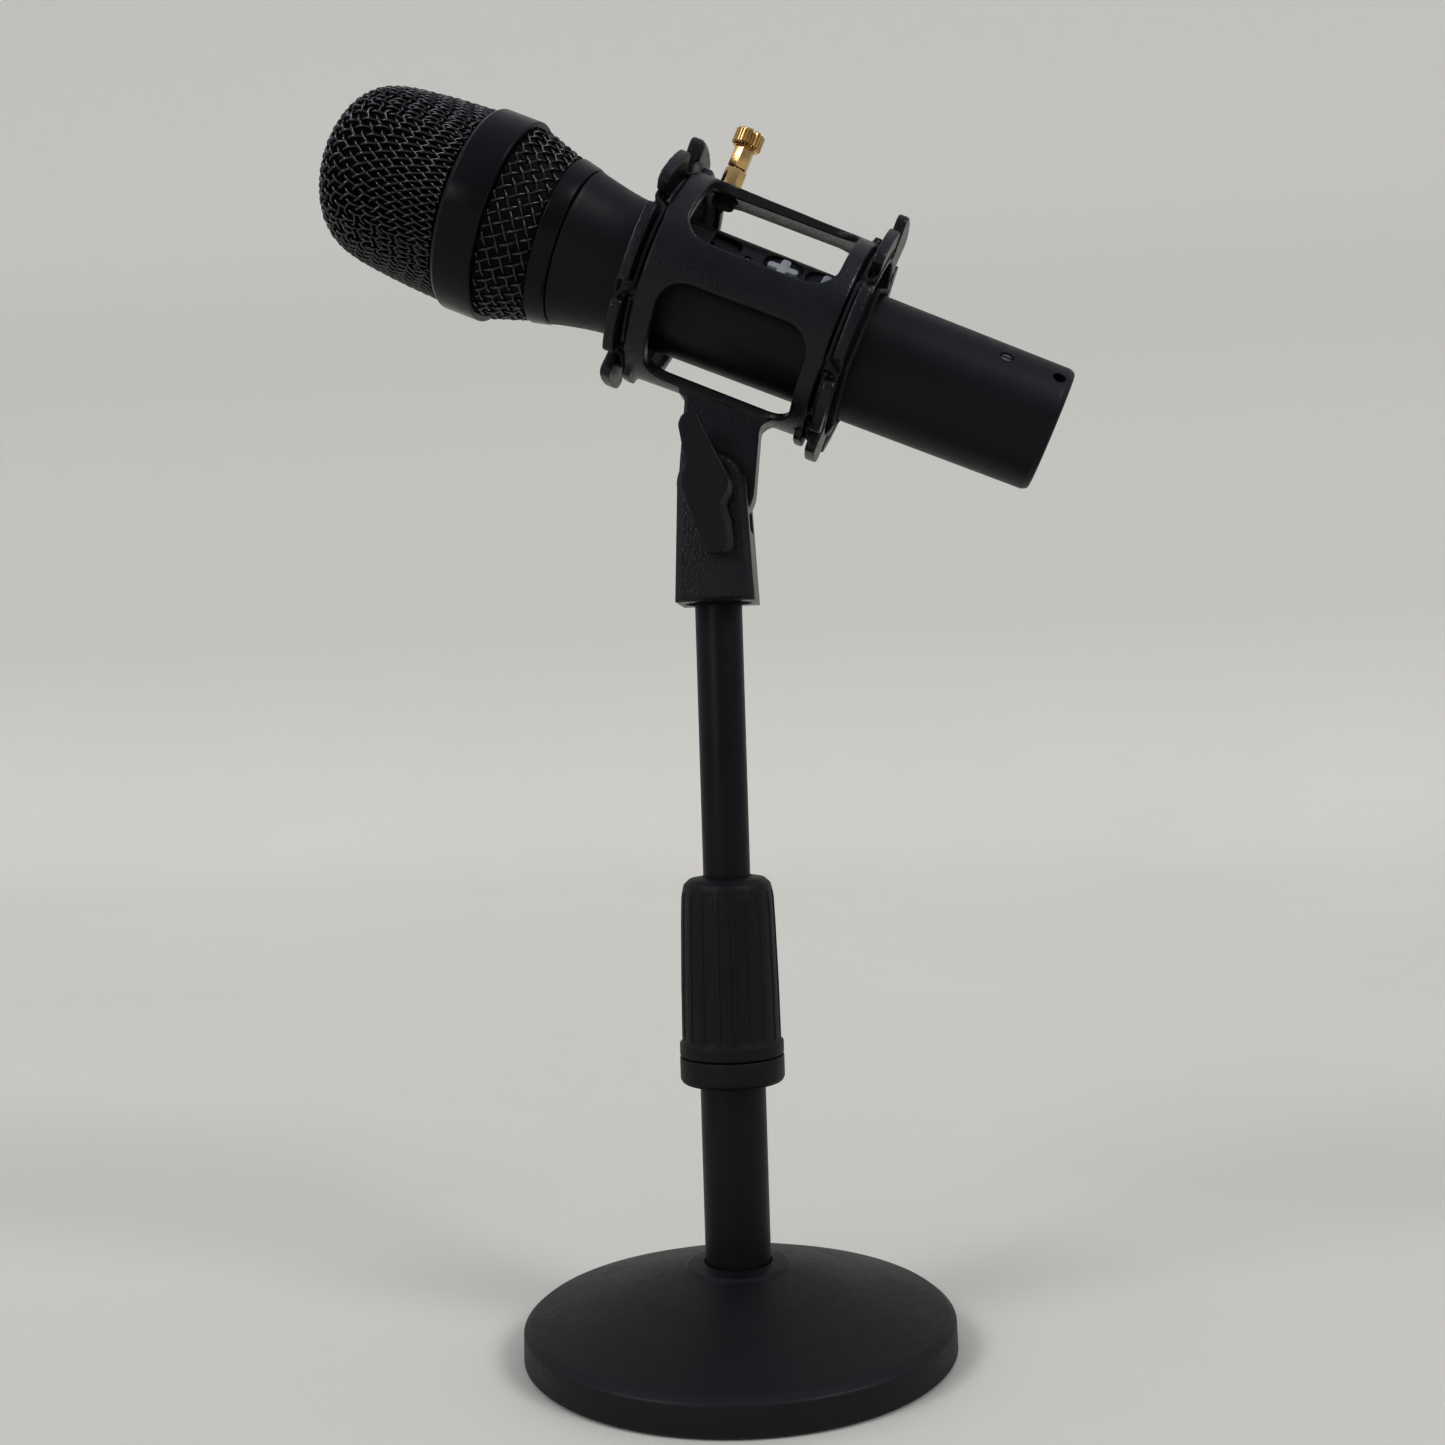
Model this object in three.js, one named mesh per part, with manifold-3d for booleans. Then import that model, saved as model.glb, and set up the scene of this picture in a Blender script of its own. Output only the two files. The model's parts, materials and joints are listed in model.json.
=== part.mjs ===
// Desktop dynamic microphone in an elastic cage mount, on a telescopic table
// stand with a round weighted base.  Millimetres, +Z up.  The origin is the
// centre of the underside of the base pad, on the mast axis.  The microphone's
// axis lies in the XZ plane with its basket towards -X and its tail towards +X.
import * as THREE from 'three';
import { mergeVertices } from 'three/addons/utils/BufferGeometryUtils.js';
import Module from 'manifold-3d';

const wasm = await Module();
wasm.setup();

// ---------------------------------------------------------------- dimensions
const GAP = 0.3; // clearance between touching pieces

// base
const BASE_R = 62.5;
const BASE_SIDE_H = 8.4;
const BASE_TOP_H = 25.3;
const PAD_R = 59.4;
const PAD_T = 2.5;

// mast
const LOWER_R = 9.5, LOWER_BORE = 8.0, LOWER_Z0 = 4.4, LOWER_Z1 = 96;
const UPPER_R = 6.85, UPPER_BORE = 5.6, UPPER_Z0 = 89.4, UPPER_Z1 = 233.6;
const RING_Z0 = 77.4, RING_Z1 = 84.9, RING_R = 15.15;
const SLEEVE_R = 11.2, SLEEVE_Z1 = 103; // threaded sleeve of the ring, inside the grip
const GRIP_Z0 = 85.3, GRIP_Z1 = 136.8, GRIP_BORE = 11.5;

// clip and pivot
const PIVOT_Z = 249.2;
const CLIP_Z0 = 215.9;
const CLIP_HALF_DEPTH = 13.0;
const CLIP_HALF_BOTTOM = 11.35;
const CLIP_HALF_TOP = 9.9;
const CLIP_BEVEL = 1.7;
const CLEVIS_HALF = 5.9;
const CLEVIS_FLOOR = 236.3;
const BOLT_R = 3.0;

// head: shared tilt of microphone and cage
const TILT = THREE.MathUtils.degToRad(23.95);
const MIC_Z = 304.49; // height of the microphone axis above the origin
const CAGE_UP = 2.0; // cage axis above the microphone axis
const CAGE_R0 = 30.5, CAGE_R1 = 29.2; // outer radius, front and rear
const CAGE_BORE = 27.1, CAGE_END_BORE = 25.8;
const CAGE_S0 = -15.0, CAGE_S1 = 40.9; // body, along the axis
const WIN_S0 = -8.5, WIN_S1 = 35.6, WIN_R = 8.0;
const BAR_HALF = THREE.MathUtils.degToRad(11.8);
const GROOVE = 2.1, TAB_T = 3.1, NECK_R = 27.5;
const CHANNEL_R0 = 27.7, CHANNEL_R1 = 30.1;
const CHANNEL = 2.1; // depth of the cord channel in the open face of every other tab
const TONGUE_HALF = 5.6, TONGUE_R = 11.1, TONGUE_X = 0.8, TONGUE_Z = 248.7;
const STEM_LEAN = THREE.MathUtils.degToRad(6.2);
const SCREW_S = -6.8;
const CORD_R = 0.75;

// microphone, stations along its axis from basket to tail
const NOSE = -121.4, BAND0 = -75.2, BAND1 = -62.6, NECK0 = -48.0, NECK1 = -42.3, TAIL = 106.0;
const CONTROL = THREE.MathUtils.degToRad(45); // angle of the control strip above the side

// ------------------------------------------------------------------- helpers
const rad = THREE.MathUtils.degToRad;

// drop attributes, weld, remove collapsed triangles and make faces point out
function weld(geometry) {
  const g = geometry.clone();
  g.deleteAttribute('normal');
  g.deleteAttribute('uv');
  const m = mergeVertices(g.index ? g : g, 1e-4);
  const p = m.getAttribute('position');
  const src = m.index.array;
  const idx = [];
  for (let i = 0; i < src.length; i += 3) {
    const [a, b, c] = [src[i], src[i + 1], src[i + 2]];
    if (a !== b && b !== c && a !== c) idx.push(a, b, c);
  }
  let v = 0;
  const A = new THREE.Vector3(), B = new THREE.Vector3(), C = new THREE.Vector3();
  for (let i = 0; i < idx.length; i += 3) {
    A.fromBufferAttribute(p, idx[i]);
    B.fromBufferAttribute(p, idx[i + 1]);
    C.fromBufferAttribute(p, idx[i + 2]);
    v += A.dot(B.cross(C));
  }
  if (v < 0) for (let i = 0; i < idx.length; i += 3) [idx[i + 1], idx[i + 2]] = [idx[i + 2], idx[i + 1]];
  const out = new THREE.BufferGeometry();
  out.setAttribute('position', new THREE.Float32BufferAttribute(Array.from(p.array), 3));
  out.setIndex(idx);
  return out;
}
const solid = (geometry) => {
  const g = weld(geometry);
  return new wasm.Manifold(new wasm.Mesh({
    numProp: 3,
    vertProperties: new Float32Array(g.getAttribute('position').array),
    triVerts: new Uint32Array(g.index.array),
  }));
};
const toGeometry = (manifold) => {
  const m = manifold.getMesh();
  const g = new THREE.BufferGeometry();
  const pos = [];
  for (let i = 0; i < m.numVert; i++) for (let k = 0; k < 3; k++) pos.push(m.vertProperties[i * m.numProp + k]);
  g.setAttribute('position', new THREE.Float32BufferAttribute(pos, 3));
  g.setIndex(Array.from(m.triVerts));
  return g;
};
const cut = (a, ...b) => toGeometry(b.reduce((s, g) => s.subtract(solid(g)), solid(a)));
const join = (a, ...b) => toGeometry(b.reduce((s, g) => s.add(solid(g)), solid(a)));

// revolve [r, z] pairs round Z; a ring profile is closed automatically
function lathe(profile, segments = 40) {
  const pts = profile.map(([r, z]) => new THREE.Vector2(r, z));
  const first = profile[0], last = profile[profile.length - 1];
  if (!(first[0] === 0 && last[0] === 0)) pts.push(new THREE.Vector2(...first));
  return new THREE.LatheGeometry(pts, segments).rotateX(Math.PI / 2);
}
// revolve [s, r] pairs round the X axis
const latheX = (profile, segments = 40) => lathe(profile.map(([s, r]) => [r, s]), segments).rotateY(Math.PI / 2);
// cylinder along X, Y or Z between two stations
function rod(axis, r, a, b, segments = 24) {
  const g = new THREE.CylinderGeometry(r, r, b - a, segments);
  g.translate(0, (a + b) / 2, 0);
  if (axis === 'x') g.rotateZ(-Math.PI / 2);
  if (axis === 'z') g.rotateX(Math.PI / 2);
  return g;
}
// hexagonal nut on Z with a round bore
const hexNut = (r, bore, z0, z1) => cut(rod('z', r, z0, z1, 6), rod('z', bore, z0 - 1, z1 + 1, 28));
const box = (x0, x1, y0, y1, z0, z1) =>
  new THREE.BoxGeometry(x1 - x0, y1 - y0, z1 - z0).translate((x0 + x1) / 2, (y0 + y1) / 2, (z0 + z1) / 2);
const polygon = (pts) => new THREE.Shape(pts.map(([x, y]) => new THREE.Vector2(x, y)));
// extrude an outline drawn in XZ along Y, from y0 to y1
function slabY(pts, y0, y1, bevel = 0) {
  const o = bevel
    ? { depth: y1 - y0 - 2 * bevel, bevelEnabled: true, bevelSize: bevel, bevelOffset: -bevel, bevelThickness: bevel, bevelSegments: 2 }
    : { depth: y1 - y0, bevelEnabled: false };
  const g = new THREE.ExtrudeGeometry(polygon(pts), o);
  if (bevel) g.translate(0, 0, bevel);
  g.rotateX(Math.PI / 2); // shape y -> z, extrusion -> -y
  return g.translate(0, y1, 0);
}
// ring made of a closed tube along points
function loop(points, r, steps, sides = 8) {
  const curve = new THREE.CatmullRomCurve3(points, true, 'centripetal');
  return new THREE.TubeGeometry(curve, steps, r, sides, true);
}
// turn a piece built along +Z, with its foot at the axis, out to angle a in a
// plane across the head axis; a = 0 points to -Y, a = 90 degrees points up
function spoke(geometry, a, s, up = 0) {
  geometry.rotateX(Math.PI / 2 - a);
  return geometry.translate(s, 0, up);
}

const material = (color, roughness, metalness) => new THREE.MeshStandardMaterial({ color, roughness, metalness });
const root = new THREE.Group();
function add(parent, name, geometry, color, roughness = 0.6, metalness = 0) {
  const mesh = new THREE.Mesh(weld(geometry), material(color, roughness, metalness));
  mesh.name = name;
  parent.add(mesh);
  return mesh;
}
const BLACK = 0x17181a, SATIN = 0x1d1e20, STEEL = 0x9a9da0, BRASS = 0xc9a25a, RUBBER = 0x101010;

// ---------------------------------------------------------------------- base
add(root, 'base_pad', lathe([[0, 0], [PAD_R - 0.6, 0], [PAD_R, 0.6], [PAD_R, PAD_T], [0, PAD_T]], 40), RUBBER, 0.9);
add(root, 'base_casting', lathe([
  [LOWER_R + GAP, BASE_TOP_H], [10.8, BASE_TOP_H - 0.1], [14.9, 24.5], [15.7, 23.8], [30, 20.2], [45, 15.8], [60.3, 10.6], [61.6, 10.0], [BASE_R - 0.1, BASE_SIDE_H],
  [BASE_R, 1.2], [61.9, 0.6], [59.8, 0.6], [59.8, PAD_T + GAP], [20, PAD_T + GAP], [20, 12], [LOWER_R + GAP, 12],
], 40), BLACK, 0.55, 0.3);
add(root, 'base_washer', lathe([[LOWER_R + GAP, 10.0], [16, 10.0], [16, 11.7], [LOWER_R + GAP, 11.7]], 24), STEEL, 0.4, 1);
add(root, 'base_nut', hexNut(14, LOWER_R + GAP, 5.0, 9.7), STEEL, 0.4, 1);

// ---------------------------------------------------------------------- mast
add(root, 'lower_tube', lathe([
  [LOWER_BORE, LOWER_Z0], [LOWER_R, LOWER_Z0], [LOWER_R, LOWER_Z1], [LOWER_BORE, LOWER_Z1],
], 32), BLACK, 0.5, 0.4);
add(root, 'clutch_ring', lathe([
  [LOWER_R + GAP, RING_Z0], [RING_R - 0.8, RING_Z0], [RING_R - 0.2, RING_Z0 + 0.4], [RING_R, RING_Z0 + 1.3],
  [RING_R, RING_Z1 - 0.3], [RING_R - 0.3, RING_Z1], [SLEEVE_R, RING_Z1], [SLEEVE_R, SLEEVE_Z1], [LOWER_R + GAP, SLEEVE_Z1],
], 32), BLACK, 0.6);
add(root, 'clutch_grip', lathe([
  [GRIP_BORE, GRIP_Z0], [14.8, GRIP_Z0], [15.1, 85.6], [15.1, 88.6], [14.5, 89.6], [14.3, 105],
  [13.8, 124], [13.45, 131], [12.8, 134.2], [11.0, 136.1], [7.6, GRIP_Z1], [UPPER_R + GAP, 136.6],
  [UPPER_R + GAP, 131.9], [GRIP_BORE - 0.75, 128], [GRIP_BORE, 103.2],
], 28), BLACK, 0.65);
{
  // split collet that the grip squeezes onto the upper tube
  const outer = 10.4, inner = UPPER_R + GAP, slit = 0.16;
  const s = new THREE.Shape();
  s.absarc(0, 0, outer, slit, 2 * Math.PI - slit, false);
  s.absarc(0, 0, inner, 2 * Math.PI - slit, slit, true);
  add(root, 'split_collet', new THREE.ExtrudeGeometry(s, { depth: 23.6, bevelEnabled: false, curveSegments: 14 }).translate(0, 0, 103.4), 0x2b2b2d, 0.5);
}
add(root, 'mast_end_bush', lathe([[0, 82.8], [7.4, 82.8], [7.7, 83.1], [7.7, 88.7], [7.4, 89.0], [0, 89.0]], 20), 0x3a3a3c, 0.5);
add(root, 'upper_tube', lathe([
  [UPPER_BORE, UPPER_Z0], [UPPER_R, UPPER_Z0], [UPPER_R, UPPER_Z1], [UPPER_BORE, UPPER_Z1],
], 32), BLACK, 0.5, 0.4);

// ---------------------------------------------------------------- swivel clip
add(root, 'clip_insert', lathe([[UPPER_R + GAP, 217.6], [9.4, 217.6], [9.4, 233.4], [UPPER_R + GAP, 233.4]], 24), BRASS, 0.35, 1);
{
  const half = (z) => CLIP_HALF_BOTTOM + (CLIP_HALF_TOP - CLIP_HALF_BOTTOM) * (z - CLIP_Z0) / (243.5 - CLIP_Z0);
  const pts = [[-half(CLIP_Z0), CLIP_Z0], [half(CLIP_Z0), CLIP_Z0]];
  const R = CLIP_HALF_TOP;
  for (let i = 0; i <= 12; i++) {
    const a = rad(-6) + (Math.PI + rad(12)) * i / 12;
    pts.push([R * Math.cos(a), PIVOT_Z + R * Math.sin(a)]);
  }
  const body = slabY(pts, -CLIP_HALF_DEPTH, CLIP_HALF_DEPTH, CLIP_BEVEL);
  add(root, 'clip_body', cut(body,
    rod('z', 9.7, CLIP_Z0 - 5, 234.0, 24),
    box(-40, 40, -CLEVIS_HALF, CLEVIS_HALF, CLEVIS_FLOOR, 300),
    rod('y', BOLT_R + GAP, -30, 30, 20).translate(0, 0, PIVOT_Z),
  ), BLACK, 0.7);
}
add(root, 'pivot_bolt', join(
  rod('y', BOLT_R, -20.2, 13.5, 20).translate(0, 0, PIVOT_Z),
  rod('y', 5.6, 13.3, 16.8, 6).translate(0, 0, PIVOT_Z),
), STEEL, 0.35, 1);
add(root, 'pivot_washer', cut(
  rod('y', 6.4, -14.5, -13.3, 24), rod('y', BOLT_R + GAP, -20, 0, 20),
).translate(0, 0, PIVOT_Z), BLACK, 0.5, 0.4);
{
  // two-bladed knob
  const outline = [
    [-2.3, 18.1], [-3.6, 18.9], [-5.4, 18.9], [-6.9, 17.8], [-7.9, 15.6], [-7.1, 10.5], [-6.1, 5.0], [-7.0, 3.0], [-7.6, 0.6],
    [-7.6, -1.4], [-5.1, -9.6], [-2.3, -18.2], [-0.4, -20.6], [2.2, -21.3], [5.0, -20.7], [6.5, -18.6], [6.2, -12.2],
    [4.9, -7.0], [6.2, -4.6], [6.8, -2.2], [6.4, -0.2], [1.8, 8.8],
  ];
  const blade = slabY(outline, -22.0, -16.0, 0.8);
  const hub = rod('y', 5.6, -16.6, -14.8, 20);
  add(root, 'wing_knob', cut(join(blade, hub), rod('y', BOLT_R + GAP, -20.6, -10, 20)).translate(0, 0, PIVOT_Z), BLACK, 0.65);
}

// ------------------------------------------------------------------ head group
const head = new THREE.Group();
head.position.set(0, 0, MIC_Z);
head.rotation.y = TILT;
root.add(head);
const toHead = (g) => g.translate(0, 0, -MIC_Z).rotateY(-TILT); // stand frame to head frame

// cage: barrel with four windows, eight hooked tabs at each end, and the stem
const TABS = [[0, 21.5, 33.0], [47.5, 16.2, 35.4], [90, 17, 38.9], [132.5, 16.2, 35.4], [180, 21.5, 33.0],
  [227.5, 16.2, 33.4], [270, 17, 35.6, 34.4], [312.5, 16.2, 33.4]]; // centre angle, half angle, radius
{
  const shell = latheX([
    [CAGE_S0 - GROOVE - TAB_T, CAGE_END_BORE], [-12.8, CAGE_END_BORE], [-10.4, CAGE_BORE], [38.0, CAGE_BORE],
    [40.4, CAGE_END_BORE], [CAGE_S1 + GROOVE + TAB_T, CAGE_END_BORE], [CAGE_S1 + GROOVE + TAB_T, NECK_R], [CAGE_S1, NECK_R],
    [CAGE_S1, CAGE_R1 - 0.5], [CAGE_S1 - 0.5, CAGE_R1], [CAGE_S0 + 0.5, CAGE_R0], [CAGE_S0, CAGE_R0 - 0.5], [CAGE_S0, NECK_R],
    [CAGE_S0 - GROOVE - TAB_T, NECK_R],
  ], 36);
  // window cutter: rounded rectangle in (s, arc) wrapped onto the cage
  const windowCutter = (centre) => {
    const half = Math.PI / 4 - BAR_HALF, R = 30.7, w = half * R, r = WIN_R, s0 = WIN_S0, s1 = WIN_S1;
    const sh = new THREE.Shape();
    sh.moveTo(s0 + r, -w); sh.lineTo(s1 - r, -w); sh.absarc(s1 - r, -w + r, r, -Math.PI / 2, 0);
    sh.lineTo(s1, w - r); sh.absarc(s1 - r, w - r, r, 0, Math.PI / 2);
    sh.lineTo(s0 + r, w); sh.absarc(s0 + r, w - r, r, Math.PI / 2, Math.PI);
    sh.lineTo(s0, -w + r); sh.absarc(s0 + r, -w + r, r, Math.PI, 1.5 * Math.PI);
    const g = new THREE.ExtrudeGeometry(sh, { depth: 24, bevelEnabled: false, curveSegments: 3 });
    const p = g.getAttribute('position');
    for (let i = 0; i < p.count; i++) {
      const s = p.getX(i), a = centre + p.getY(i) / R, rr = 22 + p.getZ(i);
      p.setXYZ(i, s, -Math.cos(a) * rr, Math.sin(a) * rr);
    }
    return g;
  };
  let m = solid(shell);
  for (let k = 0; k < 4; k++) m = m.subtract(solid(windowCutter(Math.PI / 4 + k * Math.PI / 2)));
  // tabs: arc segments standing out beyond the cord groove
  const tab = (centre, half, outer, s0, s1, inner = 26.6) => {
    const sh = new THREE.Shape();
    const n = 4;
    for (let i = 0; i <= n; i++) {
      const a = rad(centre - half + 2 * half * i / n);
      const e = i === 0 || i === n ? 1.6 : 0;
      const p = [-Math.cos(a) * (outer - e), Math.sin(a) * (outer - e)];
      if (i === 0) sh.moveTo(...p); else sh.lineTo(...p);
    }
    for (let i = n; i >= 0; i--) {
      const a = rad(centre - half + 2 * half * i / n);
      sh.lineTo(-Math.cos(a) * inner, Math.sin(a) * inner);
    }
    sh.closePath();
    return new THREE.ExtrudeGeometry(sh, { depth: s1 - s0, bevelEnabled: false }).rotateZ(Math.PI / 2).rotateY(Math.PI / 2)
      .translate(s0, 0, 0);
  };
  const ends = [[CAGE_S0 - GROOVE - TAB_T, CAGE_S0 - GROOVE], [CAGE_S1 + GROOVE, CAGE_S1 + GROOVE + TAB_T]];
  ends.forEach(([a, b], k) => { for (const [c, h, r, rRear] of TABS) m = m.add(solid(tab(c, h, k && rRear ? rRear : r, a, b))); });
  // low lobes behind the groove, matching the top and bottom tabs
  for (const [c, h, r, a, b] of [[90, 12, 32.2, CAGE_S0, CAGE_S0 + 3.0], [270, 12, 32.4, CAGE_S0, CAGE_S0 + 2.6],
    [90, 12, 31.0, CAGE_S1 - 2.2, CAGE_S1], [270, 12, 31.6, CAGE_S1 - 2.6, CAGE_S1]]) m = m.add(solid(tab(c, h, r, a, b)));
  // the top front tab is thicker above the groove
  m = m.add(solid(tab(90, 15.5, 38.3, CAGE_S0 - GROOVE - 0.1, CAGE_S0 - 1.0, 32.8)));
  // notches between the tabs, open to the ends
  const notch = (centre, s0, s1) => {
    const g = box(s0, s1, -2.3, 2.3, 26.6, 45);
    g.rotateX(-(rad(centre) - Math.PI / 2));
    return g;
  };
  for (const c of [25.6, 68.4, 111.6, 154.4, 205.6, 248.4, 291.6, 334.4]) {
    m = m.subtract(solid(notch(c, CAGE_S0 - GROOVE - TAB_T - 2, CAGE_S0 - 0.01)));
    m = m.subtract(solid(notch(c, CAGE_S1 + 0.01, CAGE_S1 + GROOVE + TAB_T + 2)));
  }
  // cord channels in the open faces of the tabs that the cord passes outside
  const channel = (centre, half, s0, s1) => {
    const sh = new THREE.Shape();
    const n = 5;
    for (let i = 0; i <= n; i++) {
      const a = rad(centre - half + 2 * half * i / n);
      const q = [-Math.cos(a) * CHANNEL_R1, Math.sin(a) * CHANNEL_R1];
      if (i === 0) sh.moveTo(...q); else sh.lineTo(...q);
    }
    for (let i = n; i >= 0; i--) {
      const a = rad(centre - half + 2 * half * i / n);
      sh.lineTo(-Math.cos(a) * CHANNEL_R0, Math.sin(a) * CHANNEL_R0);
    }
    sh.closePath();
    return new THREE.ExtrudeGeometry(sh, { depth: s1 - s0, bevelEnabled: false }).rotateZ(Math.PI / 2).rotateY(Math.PI / 2)
      .translate(s0, 0, 0);
  };
  for (const [c] of TABS.filter((_, i) => i % 2)) {
    m = m.subtract(solid(channel(c, 19.5, CAGE_S0 - GROOVE - TAB_T - 1, CAGE_S0 - GROOVE - TAB_T + CHANNEL)));
    m = m.subtract(solid(channel(c, 19.5, CAGE_S1 + GROOVE + TAB_T - CHANNEL, CAGE_S1 + GROOVE + TAB_T + 1)));
  }
  // stem: leans back from the pivot up to the bottom bar
  const dir = [Math.sin(STEM_LEAN), Math.cos(STEM_LEAN)], nor = [Math.cos(STEM_LEAN), -Math.sin(STEM_LEAN)];
  const at = (h, w) => [TONGUE_X + dir[0] * h + nor[0] * w, TONGUE_Z + dir[1] * h + nor[1] * w];
  const stemPts = [];
  for (let i = 0; i <= 12; i++) {
    const a = Math.PI + Math.PI * i / 12;
    stemPts.push(at(TONGUE_R * Math.sin(a), TONGUE_R * Math.cos(a)));
  }
  stemPts.push(at(17.2, 11.1), at(18.3, 11.4), at(19.3, 12.2), at(20.0, 13.6), at(20.6, 15.0), at(23, 18), at(33, 18), at(33, -15), at(27.4, -15),
    at(25.9, -12.1), at(24.2, -11.1));
  let stem = slabY(stemPts, -TONGUE_HALF, TONGUE_HALF);
  stem = cut(stem, rod('y', BOLT_R + GAP, -20, 20, 20).translate(0, 0, PIVOT_Z));
  const bore = latheX([[-60, 0], [-60, CAGE_BORE], [80, CAGE_BORE], [80, 0]], 56);
  const stemHead = solid(toHead(stem).translate(0, 0, -CAGE_UP)).subtract(solid(bore));
  m = m.add(stemHead);
  // seat for the threaded insert in the top bar
  m = m.subtract(solid(rod('z', 3.6, 20, 45, 20).translate(SCREW_S, 0, 0)));
  add(head, 'cage', toGeometry(m).translate(0, 0, CAGE_UP), BLACK, 0.6);
}
// woven elastic round each end: groove side of every other tab, open side of the rest
for (const [name, inner, outer, dir] of [
  ['front_elastic', CAGE_S0 - GROOVE / 2, CAGE_S0 - GROOVE - TAB_T + 0.1 + CORD_R, -1],
  ['rear_elastic', CAGE_S1 + GROOVE / 2, CAGE_S1 + GROOVE + TAB_T - 0.1 - CORD_R, 1],
]) {
  const pts = [];
  const r = NECK_R + 0.45 + CORD_R;
  TABS.forEach(([c, h], i) => {
    const s = i % 2 === 0 ? inner : outer;
    const f = i % 2 === 0 ? [-1.06, -0.8, -0.4, 0, 0.4, 0.8, 1.06] : [-1.1, -0.6, 0, 0.6, 1.1];
    for (const k of f) pts.push(new THREE.Vector3(s, -Math.cos(rad(c + k * h)) * r, Math.sin(rad(c + k * h)) * r));
  });
  add(head, name, loop(pts, CORD_R, 84, 5).translate(0, 0, CAGE_UP), 0x222224, 0.8);
}
// slings: taut elastic loops hooked at four notches and hugging the barrel
for (const [name, s, barrel] of [
  ['front_sling', CAGE_S0 - GROOVE - TAB_T - GAP - CORD_R, 19.5], ['rear_sling', CAGE_S1 + GROOVE + TAB_T + GAP + CORD_R, 18.75],
]) {
  const rho = barrel + GAP + CORD_R;
  const raw = [];
  for (let i = 0; i < 48; i++) raw.push([rho * Math.cos(i * Math.PI / 24), rho * Math.sin(i * Math.PI / 24)]);
  for (const c of [25.6, 154.4, 205.6, 334.4]) {
    const hy = -Math.cos(rad(c)) * 25.4, hz = Math.sin(rad(c)) * 25.4 + CAGE_UP;
    for (let k = 0; k < 12; k++) raw.push([hy + 0.9 * Math.cos(k * Math.PI / 6), hz + 0.9 * Math.sin(k * Math.PI / 6)]);
  }
  // convex hull of the barrel circle and the hook points
  raw.sort((p, q) => p[0] - q[0] || p[1] - q[1]);
  const cross = (o, p, q) => (p[0] - o[0]) * (q[1] - o[1]) - (p[1] - o[1]) * (q[0] - o[0]);
  const chain = (list) => {
    const h = [];
    for (const p of list) {
      while (h.length > 1 && cross(h[h.length - 2], h[h.length - 1], p) <= 1e-9) h.pop();
      h.push(p);
    }
    return h.slice(0, -1);
  };
  const hull = [...chain(raw), ...chain([...raw].reverse())];
  const path = new THREE.CurvePath();
  const pts = [];
  hull.forEach((p, i) => {
    const q = hull[(i + 1) % hull.length];
    const n = Math.max(1, Math.round(Math.hypot(q[0] - p[0], q[1] - p[1]) / 4));
    for (let k = 0; k < n; k++) pts.push(new THREE.Vector3(s, p[0] + (q[0] - p[0]) * k / n, p[1] + (q[1] - p[1]) * k / n));
  });
  add(head, name, loop(pts, CORD_R, 48, 5), 0x222224, 0.8);
}
// knurled clamp screw in the top bar
add(head, 'screw_insert', hexNut(3.3, 2.2, 28.2, 35.6).translate(SCREW_S, 0, CAGE_UP), BRASS, 0.35, 1);
add(head, 'clamp_screw', cut(
  join(
    lathe([[0, 26.4], [1.9, 26.4], [1.9, 42.3], [3.9, 42.3], [4.4, 42.7], [4.4, 47.0], [4.0, 47.4], [0, 47.4]], 20),
    rod('z', 3.1, 36.0, 42.5, 6).rotateZ(0.35),
  ),
  box(-6, 6, -0.45, 0.45, 46.3, 52).rotateZ(-1.15),
).translate(SCREW_S, 0, CAGE_UP), BRASS, 0.35, 1);
add(head, 'screw_pad', lathe([
  [0, 24.2], [3.1, 24.2], [3.5, 24.7], [3.5, 26.4], [3.2, 26.7], [2.2, 26.7], [2.2, 26.1], [0, 26.1],
], 16).translate(SCREW_S, 0, CAGE_UP), RUBBER, 0.8);

// ------------------------------------------------------------------ microphone
const mic = new THREE.Group();
head.add(mic);
const basket = [[NOSE, 0], [-120.8, 7], [-119.4, 12.0], [-117.1, 17.1], [-114.1, 21.0], [-110.5, 23.8], [-104, 26.0],
  [-98, 26.9], [-88, 27.9], [BAND0 - GAP, 28.6]];
const inset = (profile, t) => profile.map(([s, r], i) => {
  const a = profile[Math.max(0, i - 1)], b = profile[Math.min(profile.length - 1, i + 1)];
  let ds = b[0] - a[0], dr = b[1] - a[1];
  const L = Math.hypot(ds, dr);
  if (i === 0) return [s + t, 0];
  if (i === profile.length - 1) return [s, r - t];
  return [s + dr / L * t, Math.max(0, r - ds / L * t)];
});
const basketInner = inset(basket, 1.5);
add(mic, 'basket_front', latheX([...basket, ...basketInner.reverse()], 32), BLACK, 0.4, 0.6);
{
  const foamOuter = inset(basket, 2.1).map(([s, r]) => [Math.min(s, -77), r]), foamInner = inset(basket, 5.4).map(([s, r]) => [Math.min(s, -77), r]);
  add(mic, 'basket_foam', latheX([...foamOuter, ...foamInner.reverse()], 20), 0x0c0c0d, 0.95);
}
add(mic, 'basket_band', latheX([
  [BAND0, 27.0], [BAND0, 28.9], [BAND0 + 1.2, 29.8], [BAND1 - 0.4, 29.8], [BAND1, 29.4], [BAND1, 27.0],
], 36), SATIN, 0.4, 0.6);
add(mic, 'basket_rear', latheX([
  [BAND1 + GAP, 27.0], [BAND1 + GAP, 28.8], [-57, 27.4], [NECK0 - GAP, 24.3], [NECK0 - GAP, 22.6], [-57, 25.7],
], 32), BLACK, 0.4, 0.6);
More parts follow.
